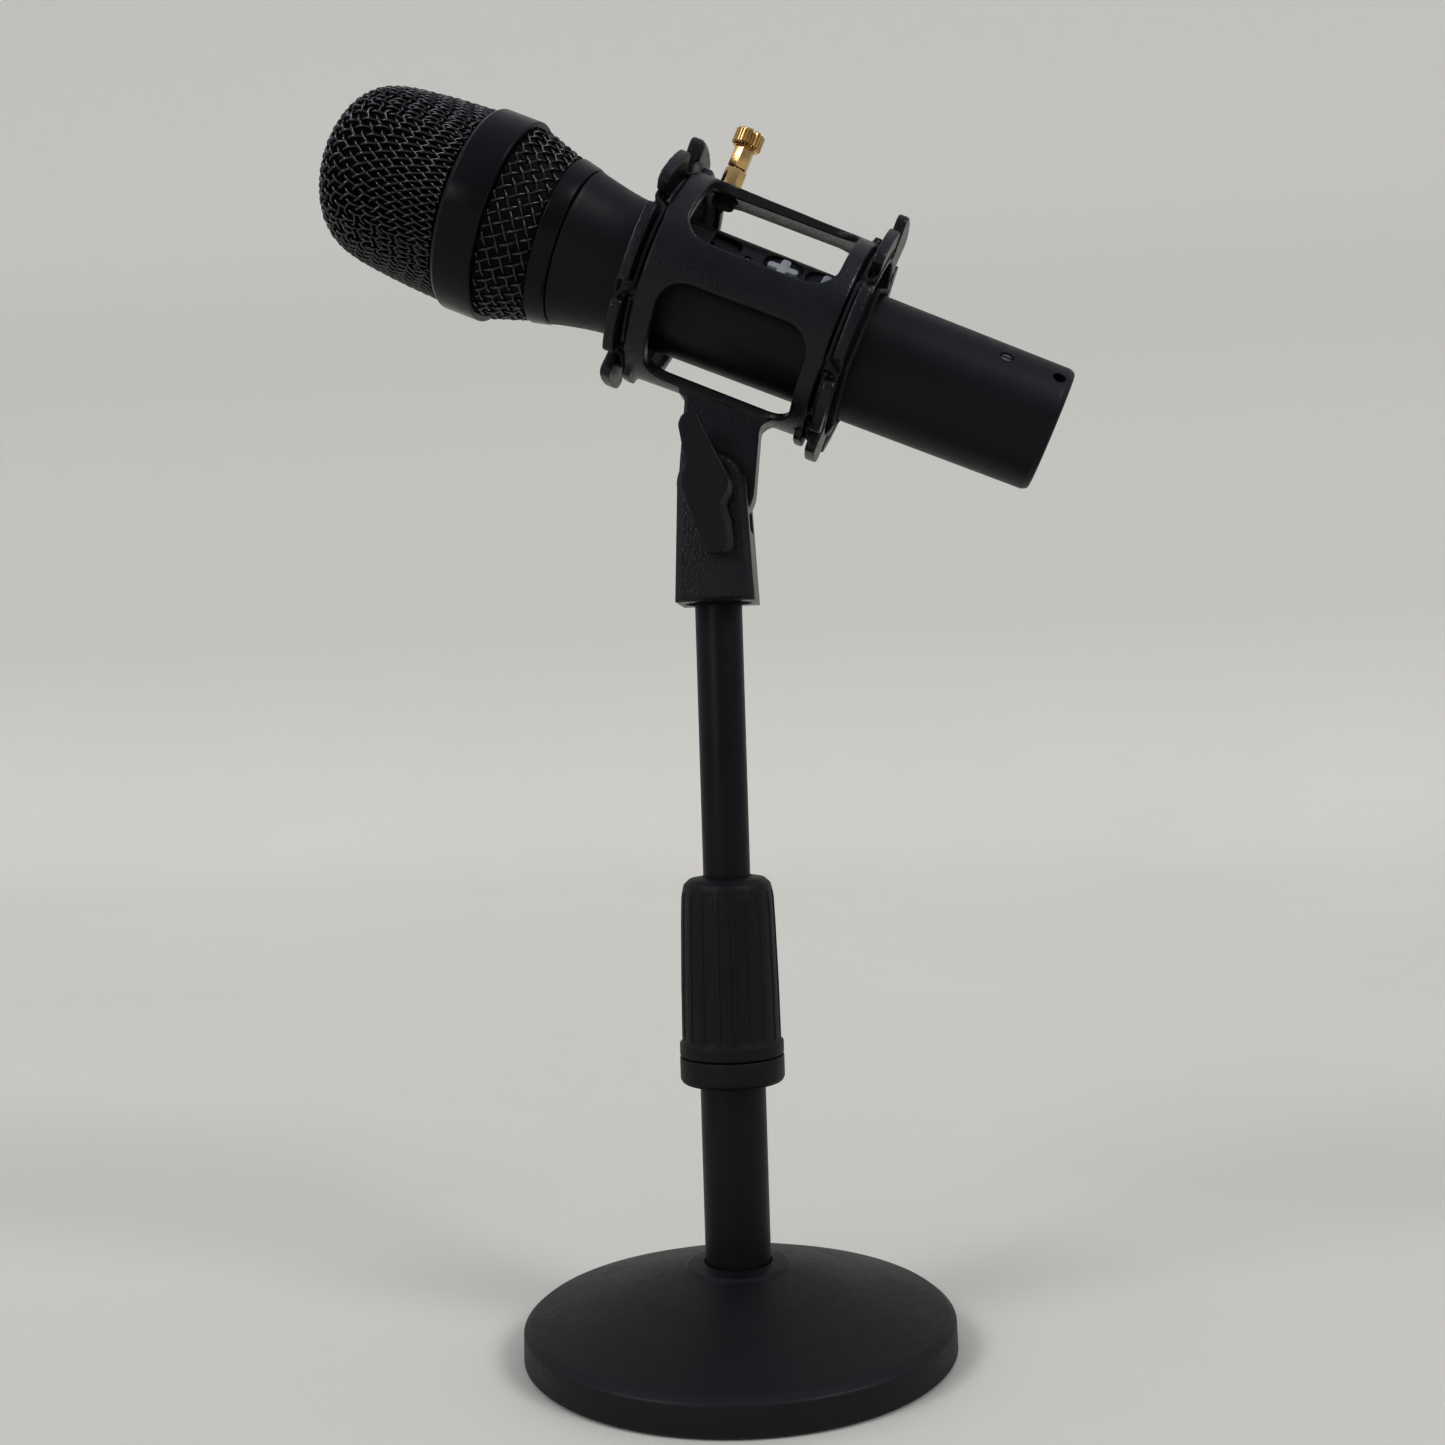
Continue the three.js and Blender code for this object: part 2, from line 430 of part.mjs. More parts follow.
add(mic, 'capsule_mount', latheX([
  [-78.5, 11.4], [-78.5, 20.6], [-76.0, 21.0], [-75.0, 26.6], [-63.2, 26.4], [-50.0, 20.9], [-46.0, 20.5], [-46.0, 18.6], [-51, 19.0], [-64, 22.6], [-70, 22.6], [-70, 11.4],
], 24), RUBBER, 0.85);
add(mic, 'capsule', join(
  latheX([[-100, 0], [-100, 12.5], [-98.6, 13.6], [-83, 13.6], [-83, 11.0], [-58, 11.0], [-58, 0]], 24),
), 0x8a8c8f, 0.4, 1);
add(mic, 'neck_ring', latheX([
  [NECK0, 21.2], [NECK0, 24.2], [-47.6, 24.5], [-42.8, 23.4], [NECK1, 23.0], [NECK1, 21.2],
], 36), SATIN, 0.45, 0.5);
// radial frame helper: piece drawn at the top (+Z) then turned to the control strip
const strip = (g) => g.rotateX(Math.PI / 2 - CONTROL);
const PLUS_S = 18.7, MINUS_S = 31.4;
const cross = (half, w) => [[-w, -half], [w, -half], [w, -w], [half, -w], [half, w], [w, w], [w, half], [-w, half], [-w, w], [-half, w], [-half, -w], [-w, -w]];
const prismZ = (pts, z0, z1) => new THREE.ExtrudeGeometry(polygon(pts), { depth: z1 - z0, bevelEnabled: false }).translate(0, 0, z0);
const bar = (half, w) => [[-half, -w], [half, -w], [half, w], [-half, w]];
{
  const outer = [[NECK1 + GAP, 22.8], [-40.6, 22.5], [-36.5, 21.6], [-32, 20.7], [-28, 20.1], [-20, 19.4],
    [50, 18.6], [103.8, 18.0], [105.4, 17.5], [TAIL, 16.7]];
  const inner = [[TAIL, 15.5], [50, 15.8], [-25, 16.2], [-34, 17.0], [NECK1 + GAP, 18.4]];
  let m = solid(latheX([...outer, ...inner], 32));
  const carve = (g) => { m = m.subtract(solid(strip(g))); };
  for (const s of [PLUS_S, MINUS_S]) carve(rod('z', 5.9, 17.5, 30, 24).translate(s, 0, 0));
  carve(prismZ(cross(4.9, 1.7), 10, 30).translate(PLUS_S, 0, 0));
  carve(prismZ(bar(1.7, 4.9), 10, 30).translate(MINUS_S, 0, 0));
  carve(box(-11.4, 6.0, -4.4, 4.4, 17.3, 30));
  carve(box(-9.6, -2.4, -1.5, 1.5, 10, 30));
  carve(rod('z', 1.0, 16.7, 30, 12).translate(8.7, -2.6, 0));
  carve(rod('z', 1.9, 13, 30, 14).translate(102.0, -1.2, 0));
  carve(rod('z', 2.0, 16.8, 30, 16).translate(86.4, -1.2, 0));
  add(mic, 'barrel', toGeometry(m), BLACK, 0.55, 0.5);
}
add(mic, 'plus_button', strip(prismZ(cross(4.6, 1.4), 14.0, 18.6).translate(PLUS_S, 0, 0)), 0xb9bcbd, 0.5);
add(mic, 'minus_button', strip(prismZ(bar(1.4, 4.6), 14.0, 18.6).translate(MINUS_S, 0, 0)), 0xb9bcbd, 0.5);
add(mic, 'switch_knob', strip(join(
  box(-11.0, -3.1, -4.0, 4.0, 17.6, 19.3), box(-9.2, -6.6, -1.2, 1.2, 13.6, 18.2),
)), 0x1b1c1e, 0.7);
add(mic, 'led_lens', strip(rod('z', 0.7, 17.05, 18.4, 12).translate(8.7, -2.6, 0)), 0xd8dcd8, 0.3);
add(mic, 'set_screw', strip(cut(rod('z', 1.7, 17.1, 17.9, 16), box(-3, 3, -0.3, 0.3, 17.6, 20)).translate(86.4, -1.2, 0)), STEEL, 0.4, 1);
add(mic, 'circuit_board', strip(box(-16, 58, -8.3, 8.3, 11.4, 13.0)), 0x1f5a36, 0.6);
add(mic, 'audio_transformer', box(-30, -17, -6.5, 6.5, -8, 5), 0x6c6455, 0.6, 0.4);
// tail: three-pin connector cavity, a data port and a headphone socket
const XLR_Z = -4.4, XLR_R = 8.6, PIN_RING = 4.4;
const pin = (k) => [Math.cos(rad(90 + 120 * k)) * PIN_RING, XLR_Z + Math.sin(rad(90 + 120 * k)) * PIN_RING];
add(mic, 'tail_insert', cut(
  latheX([[86, 0], [86, 15.0], [105.2, 15.0], [105.2, 0]], 32),
  rod('x', XLR_R, 91, 120, 28).translate(0, 0, XLR_Z),
  ...[0, 1, 2].map((k) => rod('x', 1.5, 80, 95, 14).translate(0, ...pin(k))),
  box(94, 120, -9.3, 0.3, 7.0, 11.0),
  rod('x', 2.9, 92, 120, 20).translate(0, 6.4, 8.4),
), 0x202123, 0.55);
[0, 1, 2].forEach((k) => add(mic, `xlr_pin_${k + 1}`, rod('x', 1.2, 82.5, 102, 14).translate(0, ...pin(k)), 0xd0d2d4, 0.2, 1));
add(mic, 'usb_port', cut(box(94.4, 105.0, -9.0, 0.0, 7.3, 10.7), cut(box(96.4, 110, -8.5, -0.5, 7.8, 10.2), box(90, 103.4, -7.2, -1.8, 8.7, 9.3))), STEEL, 0.35, 1);
add(mic, 'headphone_jack', cut(rod('x', 2.6, 92.4, 105.0, 20), rod('x', 1.8, 93.6, 110, 16)).translate(0, 6.4, 8.4), STEEL, 0.35, 1);

export default root;
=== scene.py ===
import json
import math
import bpy
import bmesh
import numpy as np
from mathutils import Matrix, Vector


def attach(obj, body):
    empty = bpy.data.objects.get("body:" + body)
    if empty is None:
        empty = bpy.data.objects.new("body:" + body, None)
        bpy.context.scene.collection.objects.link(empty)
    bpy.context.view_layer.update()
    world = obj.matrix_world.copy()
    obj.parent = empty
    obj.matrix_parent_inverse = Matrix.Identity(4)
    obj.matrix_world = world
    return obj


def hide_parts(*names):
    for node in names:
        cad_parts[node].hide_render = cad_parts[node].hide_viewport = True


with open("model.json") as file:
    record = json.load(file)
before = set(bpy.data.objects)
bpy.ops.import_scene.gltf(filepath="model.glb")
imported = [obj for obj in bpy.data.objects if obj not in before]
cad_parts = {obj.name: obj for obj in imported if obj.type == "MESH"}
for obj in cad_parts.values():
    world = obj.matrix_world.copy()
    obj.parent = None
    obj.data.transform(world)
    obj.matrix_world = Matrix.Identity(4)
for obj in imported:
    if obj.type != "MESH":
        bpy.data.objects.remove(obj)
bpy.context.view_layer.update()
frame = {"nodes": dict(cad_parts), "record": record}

nodes = frame["nodes"]
rad = math.radians
rng = np.random.default_rng(7)

# ------------------------------------------------------------------ frame of the head
TILT = rad(23.95)
MIC_Z = 304.49
CAGE_UP = 2.0
ct, st = math.cos(TILT), math.sin(TILT)
HEAD = Matrix(((ct, 0, st, 0), (0, 1, 0, 0), (-st, 0, ct, MIC_Z), (0, 0, 0, 1)))
CAGE = HEAD @ Matrix.Translation((0, 0, CAGE_UP))
STAND = Matrix.Identity(4)


# ------------------------------------------------------------------ camera
def make_camera():
    cam = bpy.data.cameras.new("camera")
    cam.sensor_width = 36.0
    cam.sensor_fit = "HORIZONTAL"
    cam.lens = 1606.39 / 1445 * 36.0
    cam.clip_start, cam.clip_end = 0.01, 50
    o = bpy.data.objects.new("camera", cam)
    f, r, u = Vector((-0.09232, 0.99572, 0.00412)), Vector((0.99526, 0.0924, -0.03044)), Vector((0.03069, -0.00129, 0.99953))
    m = Matrix((r, u, -f)).transposed().to_4x4()
    m.translation = Vector((0.04325, -0.46528, 0.1794))
    o.matrix_world = m
    bpy.context.scene.collection.objects.link(o)
    bpy.context.scene.camera = o


make_camera()


# ------------------------------------------------------------------ materials
def socket(node, *names):
    for n in names:
        if n in node.inputs:
            return node.inputs[n]
    raise KeyError(names)


class Mat:
    """A principled material whose colour, roughness and relief come from procedural nodes."""

    def __init__(self, name, rough=0.5, metal=0.0, spec=0.5):
        self.m = bpy.data.materials.new(name)
        self.m.use_nodes = True
        self.t = self.m.node_tree
        self.n = self.t.nodes
        self.l = self.t.links
        self.b = next(x for x in self.n if x.type == "BSDF_PRINCIPLED")
        self.b.inputs["Roughness"].default_value = rough
        self.b.inputs["Metallic"].default_value = metal
        self.b.inputs["Specular IOR Level"].default_value = spec
        self.coord = self.n.new("ShaderNodeTexCoord")
        self.height = None

    def noise(self, scale, detail=3.0, rough=0.5, stretch=None, distortion=0.0):
        t = self.n.new("ShaderNodeTexNoise")
        t.inputs["Scale"].default_value = scale
        t.inputs["Detail"].default_value = detail
        t.inputs["Roughness"].default_value = rough
        t.inputs["Distortion"].default_value = distortion
        self._vec(t, stretch)
        return t.outputs["Fac"] if "Fac" in t.outputs else t.outputs[0]

    def voronoi(self, scale, feature="F1", rand=1.0, stretch=None):
        t = self.n.new("ShaderNodeTexVoronoi")
        t.feature = feature
        t.inputs["Scale"].default_value = scale
        t.inputs["Randomness"].default_value = rand
        self._vec(t, stretch)
        return t.outputs["Distance"]

    def wave(self, scale, axis="X", stretch=None, distortion=0.0, profile="SIN"):
        t = self.n.new("ShaderNodeTexWave")
        t.wave_profile = profile
        t.bands_direction = axis
        t.inputs["Scale"].default_value = scale
        t.inputs["Distortion"].default_value = distortion
        self._vec(t, stretch)
        return t.outputs["Fac"] if "Fac" in t.outputs else t.outputs[1]

    def _vec(self, t, stretch):
        if stretch is None:
            self.l.new(self.coord.outputs["Object"], t.inputs["Vector"])
            return
        mp = self.n.new("ShaderNodeMapping")
        if len(stretch) == 6:
            mp.inputs["Rotation"].default_value = stretch[3:]
        mp.inputs["Scale"].default_value = stretch[:3]
        self.l.new(self.coord.outputs["Object"], mp.inputs["Vector"])
        self.l.new(mp.outputs["Vector"], t.inputs["Vector"])

    def remap(self, s, a, b, c, d):
        t = self.n.new("ShaderNodeMapRange")
        t.clamp = True
        for i, v in enumerate((a, b, c, d)):
            t.inputs[i + 1].default_value = v
        self.l.new(s, t.inputs[0])
        return t.outputs[0]

    def math(self, op, a, b):
        t = self.n.new("ShaderNodeMath")
        t.operation = op
        for i, v in enumerate((a, b)):
            if isinstance(v, (int, float)):
                t.inputs[i].default_value = v
            else:
                self.l.new(v, t.inputs[i])
        return t.outputs[0]

    def mix(self, fac, a, b):
        t = self.n.new("ShaderNodeMix")
        t.data_type = "RGBA"
        for k, v in ((6, a), (7, b)):
            if isinstance(v, (tuple, list)):
                t.inputs[k].default_value = (*v[:3], 1)
            else:
                self.l.new(v, t.inputs[k])
        self.l.new(fac, t.inputs[0])
        return t.outputs[2]

    def color(self, s):
        self.l.new(s, self.b.inputs["Base Color"])
        return self

    def rough(self, s):
        self.l.new(s, self.b.inputs["Roughness"])
        return self

    def bump(self, s, depth_mm, strength=1.0):
        t = self.n.new("ShaderNodeBump")
        t.inputs["Strength"].default_value = strength
        t.inputs["Distance"].default_value = depth_mm * 0.001
        self.l.new(s, t.inputs["Height"])
        if self.height is not None:
            self.l.new(self.height, t.inputs["Normal"])
        self.height = t.outputs["Normal"]
        self.l.new(self.height, self.b.inputs["Normal"])
        return self

    def edge(self):
        """0 on flats, rising to 1 on worn convex edges."""
        g = self.n.new("ShaderNodeNewGeometry")
        return self.remap(g.outputs["Pointiness"], 0.53, 0.62, 0.0, 1.0)


def satin_metal(name, c0, c1, r0, r1, grain=2600, depth=0.012, dust=0.25, spec=0.3):
    m = Mat(name, spec=spec)
    big = m.noise(38, 4, 0.6)
    mid = m.noise(420, 3, 0.6)
    base = m.mix(m.remap(big, 0.3, 0.7, 0, 1), c0, c1)
    speck = m.remap(m.noise(1500, 2, 0.5), 0.70, 0.78, 0.0, dust)
    worn = m.math("MULTIPLY", m.edge(), m.remap(m.noise(230, 4, 0.7), 0.5, 0.75, 0.0, 0.35))
    base = m.mix(speck, base, (0.06, 0.06, 0.06))
    m.color(m.mix(worn, base, (0.045, 0.045, 0.048)))
    m.rough(m.math("ADD", m.remap(big, 0.25, 0.75, r0, r1), m.remap(mid, 0.3, 0.7, -0.03, 0.05)))
    m.bump(m.noise(grain, 2, 0.5), depth)
    return m.m


def moulded(name, c0, c1, r0, r1, pebble=1500, depth=0.03, spec=0.5):
    m = Mat(name, spec=spec)
    big = m.noise(55, 4, 0.6)
    base = m.mix(m.remap(big, 0.3, 0.7, 0, 1), c0, c1)
    dust = m.remap(m.noise(900, 3, 0.7), 0.68, 0.8, 0.0, 0.22)
    worn = m.math("MULTIPLY", m.edge(), m.remap(m.noise(160, 4, 0.7), 0.4, 0.7, 0.0, 0.5))
    base = m.mix(dust, base, (0.05, 0.05, 0.05))
    m.color(m.mix(worn, base, (0.040, 0.041, 0.045)))
    m.rough(m.math("ADD", m.remap(big, 0.25, 0.75, r0, r1), m.remap(m.noise(700, 2, 0.5), 0.3, 0.7, -0.05, 0.05)))
    m.bump(m.voronoi(pebble), depth)
    m.bump(m.noise(pebble * 2.2, 2, 0.6), depth * 0.5)
    return m.m


M = {}
M["base"] = satin_metal("base_paint", (0.0062, 0.0064, 0.0082), (0.0092, 0.0094, 0.0116), 0.42, 0.54, 2300, 0.016, 0.10, 0.34)
M["tube"] = satin_metal("tube_paint", (0.0040, 0.0041, 0.0058), (0.0060, 0.0062, 0.0082), 0.34, 0.44, 3000, 0.008, 0.06, 0.28)
M["mic"] = satin_metal("mic_paint", (0.0046, 0.0048, 0.0066), (0.0066, 0.0068, 0.0088), 0.36, 0.46, 3200, 0.006, 0.05, 0.28)
M["band"] = satin_metal("band_paint", (0.0028, 0.0029, 0.0038), (0.0034, 0.0035, 0.0048), 0.20, 0.25, 3000, 0.0015, 0.02, 0.26)
M["cage"] = moulded("cage_plastic", (0.0042, 0.0044, 0.0058), (0.0070, 0.0073, 0.0098), 0.26, 0.36, 1500, 0.055, 0.46)
M["clip"] = moulded("clip_plastic", (0.0040, 0.0042, 0.0056), (0.0070, 0.0073, 0.0098), 0.28, 0.38, 1250, 0.110, 0.50)
M["lever"] = moulded("lever_plastic", (0.0062, 0.0064, 0.0080), (0.0084, 0.0086, 0.0104), 0.42, 0.52, 2600, 0.010, 0.30)
M["grip"] = moulded("grip_plastic", (0.0048, 0.0049, 0.0062), (0.0074, 0.0075, 0.0092), 0.42, 0.56, 1900, 0.020, 0.30)


def wire_mat():
    m = Mat("wire_paint", spec=0.85)
    n = m.noise(260, 3, 0.6)
    m.color(m.mix(m.remap(n, 0.35, 0.65, 0, 1), (0.0016, 0.0017, 0.0024), (0.0036, 0.0037, 0.0048)))
    m.rough(m.remap(m.noise(900, 3, 0.6), 0.3, 0.7, 0.12, 0.22))
    m.bump(m.noise(2600, 2, 0.5), 0.008)
    return m.m


def foam_mat():
    m = Mat("foam", rough=0.95, spec=0.2)
    g = m.voronoi(1500)
    m.color(m.mix(m.remap(g, 0.1, 0.6, 0, 1), (0.0032, 0.0032, 0.0038), (0.0006, 0.0006, 0.0008)))
    m.rough(m.remap(m.noise(600), 0.3, 0.7, 0.88, 1.0))
    m.bump(g, 0.25)
    return m.m


def elastic_mat():
    m = Mat("elastic_braid", spec=0.35)
    w = m.wave(520, "X", stretch=(1, 1, 1, 0.6, 0.5, 0.4))
    v = m.wave(520, "Y", stretch=(1, 1, 1, -0.5, 0.3, 0.9))
    b = m.math("MAXIMUM", w, v)
    # painted shade: the grooves between the raised braid strands are painted darker and the strand crests lighter,
    # following the same pattern as the bump
    m.color(m.mix(m.remap(b, 0.2, 0.9, 0, 1), (0.003, 0.003, 0.0036), (0.014, 0.014, 0.016)))
    m.rough(m.remap(m.noise(700), 0.3, 0.7, 0.55, 0.75))
    m.bump(b, 0.10)
    return m.m


def brass_mat():
    m = Mat("brass_turned", metal=1.0)
    n = m.noise(170, 4, 0.65)
    f = m.noise(900, 3, 0.6)
    m.color(m.mix(m.remap(n, 0.3, 0.7, 0, 1), (0.60, 0.41, 0.17), (0.70, 0.50, 0.24)))
    m.rough(m.math("ADD", m.remap(n, 0.3, 0.7, 0.17, 0.23), m.remap(f, 0.35, 0.7, 0.0, 0.04)))
    m.bump(m.noise(2200, 2, 0.5, stretch=(1, 1, 6)), 0.010)
    return m.m


def steel_mat():
    m = Mat("plated_steel", metal=1.0)
    n = m.noise(300, 4, 0.6)
    m.color(m.mix(m.remap(n, 0.3, 0.7, 0, 1), (0.42, 0.43, 0.45), (0.60, 0.60, 0.62)))
    m.rough(m.remap(m.noise(900, 3), 0.3, 0.7, 0.24, 0.42))
    m.bump(m.noise(2600, 2, 0.5, stretch=(1, 5, 1)), 0.006)
    return m.m


def rubber_mat(name="rubber"):
    m = Mat(name, spec=0.35)
    m.color(m.mix(m.remap(m.noise(120, 4), 0.3, 0.7, 0, 1), (0.0045, 0.0045, 0.005), (0.009, 0.009, 0.010)))
    m.rough(m.remap(m.noise(500, 3), 0.3, 0.7, 0.7, 0.9))
    m.bump(m.voronoi(1300), 0.05)
    return m.m


def glyph_mat():
    m = Mat("glyph_grey", spec=0.5)
    n = m.noise(350, 3)
    m.color(m.mix(m.remap(n, 0.3, 0.7, 0, 1), (0.25, 0.26, 0.265), (0.32, 0.33, 0.335)))
    m.rough(m.remap(m.noise(1200), 0.3, 0.7, 0.34, 0.50))
    m.bump(m.noise(2600, 2), 0.008)
    return m.m


def pebble_mat():
    m = Mat("switch_pebble", spec=0.5)
    v = m.voronoi(1150)
    # painted shade: the hollows between the raised pebbles are painted darker and the pebble tops lighter, following
    # the same voronoi as the bump
    m.color(m.mix(m.remap(v, 0.1, 0.6, 0, 1), (0.012, 0.012, 0.014), (0.004, 0.004, 0.005)))
    m.rough(m.remap(m.noise(500), 0.3, 0.7, 0.42, 0.6))
    m.bump(m.math("SUBTRACT", 1.0, v), 0.14)
    return m.m


def led_mat():
    m = Mat("led_lens", spec=0.6)
    m.color(m.mix(m.remap(m.noise(900), 0.3, 0.7, 0, 1), (0.14, 0.15, 0.14), (0.19, 0.20, 0.18)))
    m.rough(m.remap(m.noise(1500), 0.3, 0.7, 0.2, 0.35))
    return m.m


def board_mat():
    m = Mat("solder_mask", spec=0.5)
    g = m.wave(180, "X", distortion=2.0)
    m.color(m.mix(m.remap(g, 0.6, 0.8, 0, 1), (0.010, 0.075, 0.030), (0.022, 0.120, 0.050)))
    m.rough(m.remap(m.noise(700), 0.3, 0.7, 0.3, 0.5))
    m.bump(g, 0.03)
    return m.m


M["wire"] = wire_mat()
M["foam"] = foam_mat()
M["elastic"] = elastic_mat()
M["brass"] = brass_mat()
M["steel"] = steel_mat()
M["rubber"] = rubber_mat()
M["glyph"] = glyph_mat()
M["pebble"] = pebble_mat()
M["led"] = led_mat()
M["board"] = board_mat()


def lining_mat():
    m = Mat("fine_mesh_lining", spec=0.3)
    a = m.wave(900, "X", stretch=(1, 1, 1, 0.3, 0.8, 0.5))
    b = m.wave(900, "Z", stretch=(1, 1, 1, 0.3, 0.8, 0.5))
    g = m.math("MAXIMUM", a, b)
    # painted shade: the gaps between the raised threads are painted near black and the threads lighter, following the
    # same pattern as the bump
    m.color(m.mix(m.remap(g, 0.2, 0.9, 0, 1), (0.0006, 0.0006, 0.0008), (0.0060, 0.0060, 0.0070)))
    m.rough(m.remap(m.noise(500), 0.3, 0.7, 0.45, 0.65))
    m.bump(g, 0.12)
    return m.m


def dark_steel():
    m = Mat("dark_steel", metal=1.0)
    n = m.noise(500, 4, 0.6)
    m.color(m.mix(m.remap(n, 0.3, 0.7, 0, 1), (0.10, 0.10, 0.095), (0.22, 0.21, 0.19)))
    m.rough(m.remap(m.noise(900, 3), 0.3, 0.7, 0.28, 0.45))
    m.bump(m.noise(2600, 2, 0.5), 0.01)
    return m.m


M["lining"] = lining_mat()
M["dark_steel"] = dark_steel()

CAD_MATS = {
    "satin_black_metal": "tube", "grip_plastic": "grip", "cage_plastic": "cage", "inner_plastic": "grip", "black_rubber": "rubber",
    "elastic": "elastic", "brass": "brass", "plated_steel": "steel", "mic_paint": "mic", "mesh_paint": "wire", "foam": "foam",
    "capsule_metal": "steel", "board": "board", "transformer_iron": "base", "glyph_grey": "glyph", "switch_plastic": "pebble",
    "led_plastic": "led", "insert_plastic": "grip", "pin_plating": "steel",
}
CAD_NODE_MATS = {"capsule_mount": "lining", "set_screw": "dark_steel"}
slot_of = {s["node"]: s["material_slot"] for s in frame["record"]["subparts"]}
for name, o in nodes.items():
    o.data.materials.clear()
    o.data.materials.append(M[CAD_NODE_MATS.get(name, CAD_MATS[slot_of[name]])])
    if len(o.data.polygons):
        o.data.polygons.foreach_set("use_smooth", np.ones(len(o.data.polygons), bool))
        o.data.set_sharp_from_angle(angle=rad(32))


# ------------------------------------------------------------------ mesh tools (millimetres)
def raw(name, verts, faces):
    me = bpy.data.meshes.new(name)
    me.from_pydata([tuple(map(float, v)) for v in verts], [], [tuple(int(i) for i in f) for f in faces])
    me.validate()
    o = bpy.data.objects.new(name, me)
    bpy.context.scene.collection.objects.link(o)
    bm = bmesh.new()
    bm.from_mesh(me)
    bmesh.ops.remove_doubles(bm, verts=bm.verts, dist=1e-5)
    bmesh.ops.recalc_face_normals(bm, faces=bm.faces)
    bm.to_mesh(me)
    bm.free()
    return o


def bake(o):
    """applies the modifiers"""
    bpy.context.view_layer.update()
    dg = bpy.context.evaluated_depsgraph_get()
    me = bpy.data.meshes.new_from_object(o.evaluated_get(dg), preserve_all_data_layers=False, depsgraph=dg)
    old = o.data
    o.modifiers.clear()
    o.data = me
    bpy.data.meshes.remove(old)
    return o


def drop(*obs):
    for o in obs:
        me = o.data
        bpy.data.objects.remove(o)
        if me.users == 0:
            bpy.data.meshes.remove(me)


def merge(name, obs):
    """several closed solids in one mesh, unjoined"""
    bm = bmesh.new()
    for o in obs:
        bm.from_mesh(o.data)
    me = bpy.data.meshes.new(name)
    bm.to_mesh(me)
    bm.free()
    drop(*obs)
    o = bpy.data.objects.new(name, me)
    bpy.context.scene.collection.objects.link(o)
    return o


def cut(o, cutters, op="DIFFERENCE"):
    for c in cutters:
        md = o.modifiers.new("b", "BOOLEAN")
        md.operation = op
        md.solver = "EXACT"
        md.object = c
    bake(o)
    drop(*cutters)
    return o


def voxel(o, size, smooth=2, factor=0.5):
    md = o.modifiers.new("r", "REMESH")
    md.mode = "VOXEL"
    md.voxel_size = size
    md.adaptivity = 0
    if smooth:
        sm = o.modifiers.new("s", "SMOOTH")
        sm.factor = factor
        sm.iterations = smooth
    return bake(o)


def bevel(o, width, segments=3, angle=35):
    md = o.modifiers.new("bev", "BEVEL")
    md.width = width
    md.segments = segments
    md.limit_method = "ANGLE"
    md.angle_limit = rad(angle)
    md.harden_normals = False
    md.use_clamp_overlap = True
    return bake(o)


def piece(o, name, body, mat, stands_for=(), place=STAND, sharp=35):
    o.name = name
    o.data.name = name
    o.data.transform(place)
    o.data.transform(Matrix.Scale(0.001, 4))
    o.data.materials.clear()
    o.data.materials.append(M[mat])
    o.data.polygons.foreach_set("material_index", np.zeros(len(o.data.polygons), np.int32))
    o.data.polygons.foreach_set("use_smooth", np.ones(len(o.data.polygons), bool))
    if sharp:
        o.data.set_sharp_from_angle(angle=rad(sharp))
    o.data.update()
    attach(o, body)
    if stands_for:
        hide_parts(*stands_for)
    return o


def fillet(pts, r, closed=False, n=4):
    """rounds the corners of a polyline with radius r (a number or one per point)"""
    pts = [np.array(p, float) for p in pts]
    out = []
    N = len(pts)
    for i, p in enumerate(pts):
        ri = r[i] if isinstance(r, (list, tuple)) else r
        if (not closed and i in (0, N - 1)) or ri <= 0:
            out.append(p)
            continue
        a, b = pts[i - 1], pts[(i + 1) % N]
        u, v = a - p, b - p
        lu, lv = np.linalg.norm(u), np.linalg.norm(v)
        if lu < 1e-9 or lv < 1e-9:
            out.append(p)
            continue
        u, v = u / lu, v / lv
        c = float(np.clip(u @ v, -1, 1))
        ang = math.acos(c)
        if ang > math.pi - 0.02:
            out.append(p)
            continue
        d = min(ri / math.tan(ang / 2), lu * 0.49, lv * 0.49)
        R = d * math.tan(ang / 2)
        mid = u + v
        mid /= np.linalg.norm(mid)
        cen = p + mid * (R / math.sin(ang / 2))
        s, e = p + u * d - cen, p + v * d - cen
        half = (math.pi - ang)
        for k in range(n + 1):
            t = k / n
            w = math.sin((1 - t) * half) / math.sin(half), math.sin(t * half) / math.sin(half)
            out.append(cen + s * w[0] + e * w[1])
    return [tuple(p) for p in out]


def densify(pts, step, closed=False):
    out = []
    n = len(pts)
    for i in range(n if closed else n - 1):
        a, b = np.array(pts[i], float), np.array(pts[(i + 1) % n], float)
        k = max(1, int(math.ceil(np.linalg.norm(b - a) / step)))
        out += [tuple(a + (b - a) * j / k) for j in range(k)]
    if not closed:
        out.append(tuple(pts[-1]))
    return out


def lathe(name, profile, seg=128, axis="z", modulate=None):
    """revolves (r, h); a profile that starts and ends on the axis is a solid, any other closes into a ring.
    modulate(theta array, r, h) gives the radius at each angle."""
    solid = profile[0][0] == 0 and profile[-1][0] == 0
    th = np.arange(seg) * 2 * math.pi / seg
    verts, rows = [], []
    for r, h in profile:
        if r == 0:
            rows.append([len(verts)] * seg)
            verts.append((0.0, 0.0, h))
            continue
        rr = modulate(th, r, h) if modulate else np.full(seg, r)
        rows.append(list(range(len(verts), len(verts) + seg)))
        verts += list(zip(rr * np.cos(th), rr * np.sin(th), np.full(seg, h)))
    faces = []
    k = len(rows)
    for i in range(k - 1 if solid else k):
        a, b = rows[i], rows[(i + 1) % k]
        for j in range(seg):
            q = [a[j], a[(j + 1) % seg], b[(j + 1) % seg], b[j]]
            f = [q[0]]
            for x in q[1:]:
                if x not in f:
                    f.append(x)
            if len(f) > 2:
                faces.append(f)
    if axis == "x":
        verts = [(z, y, -x) for x, y, z in verts]
    return raw(name, verts, faces)


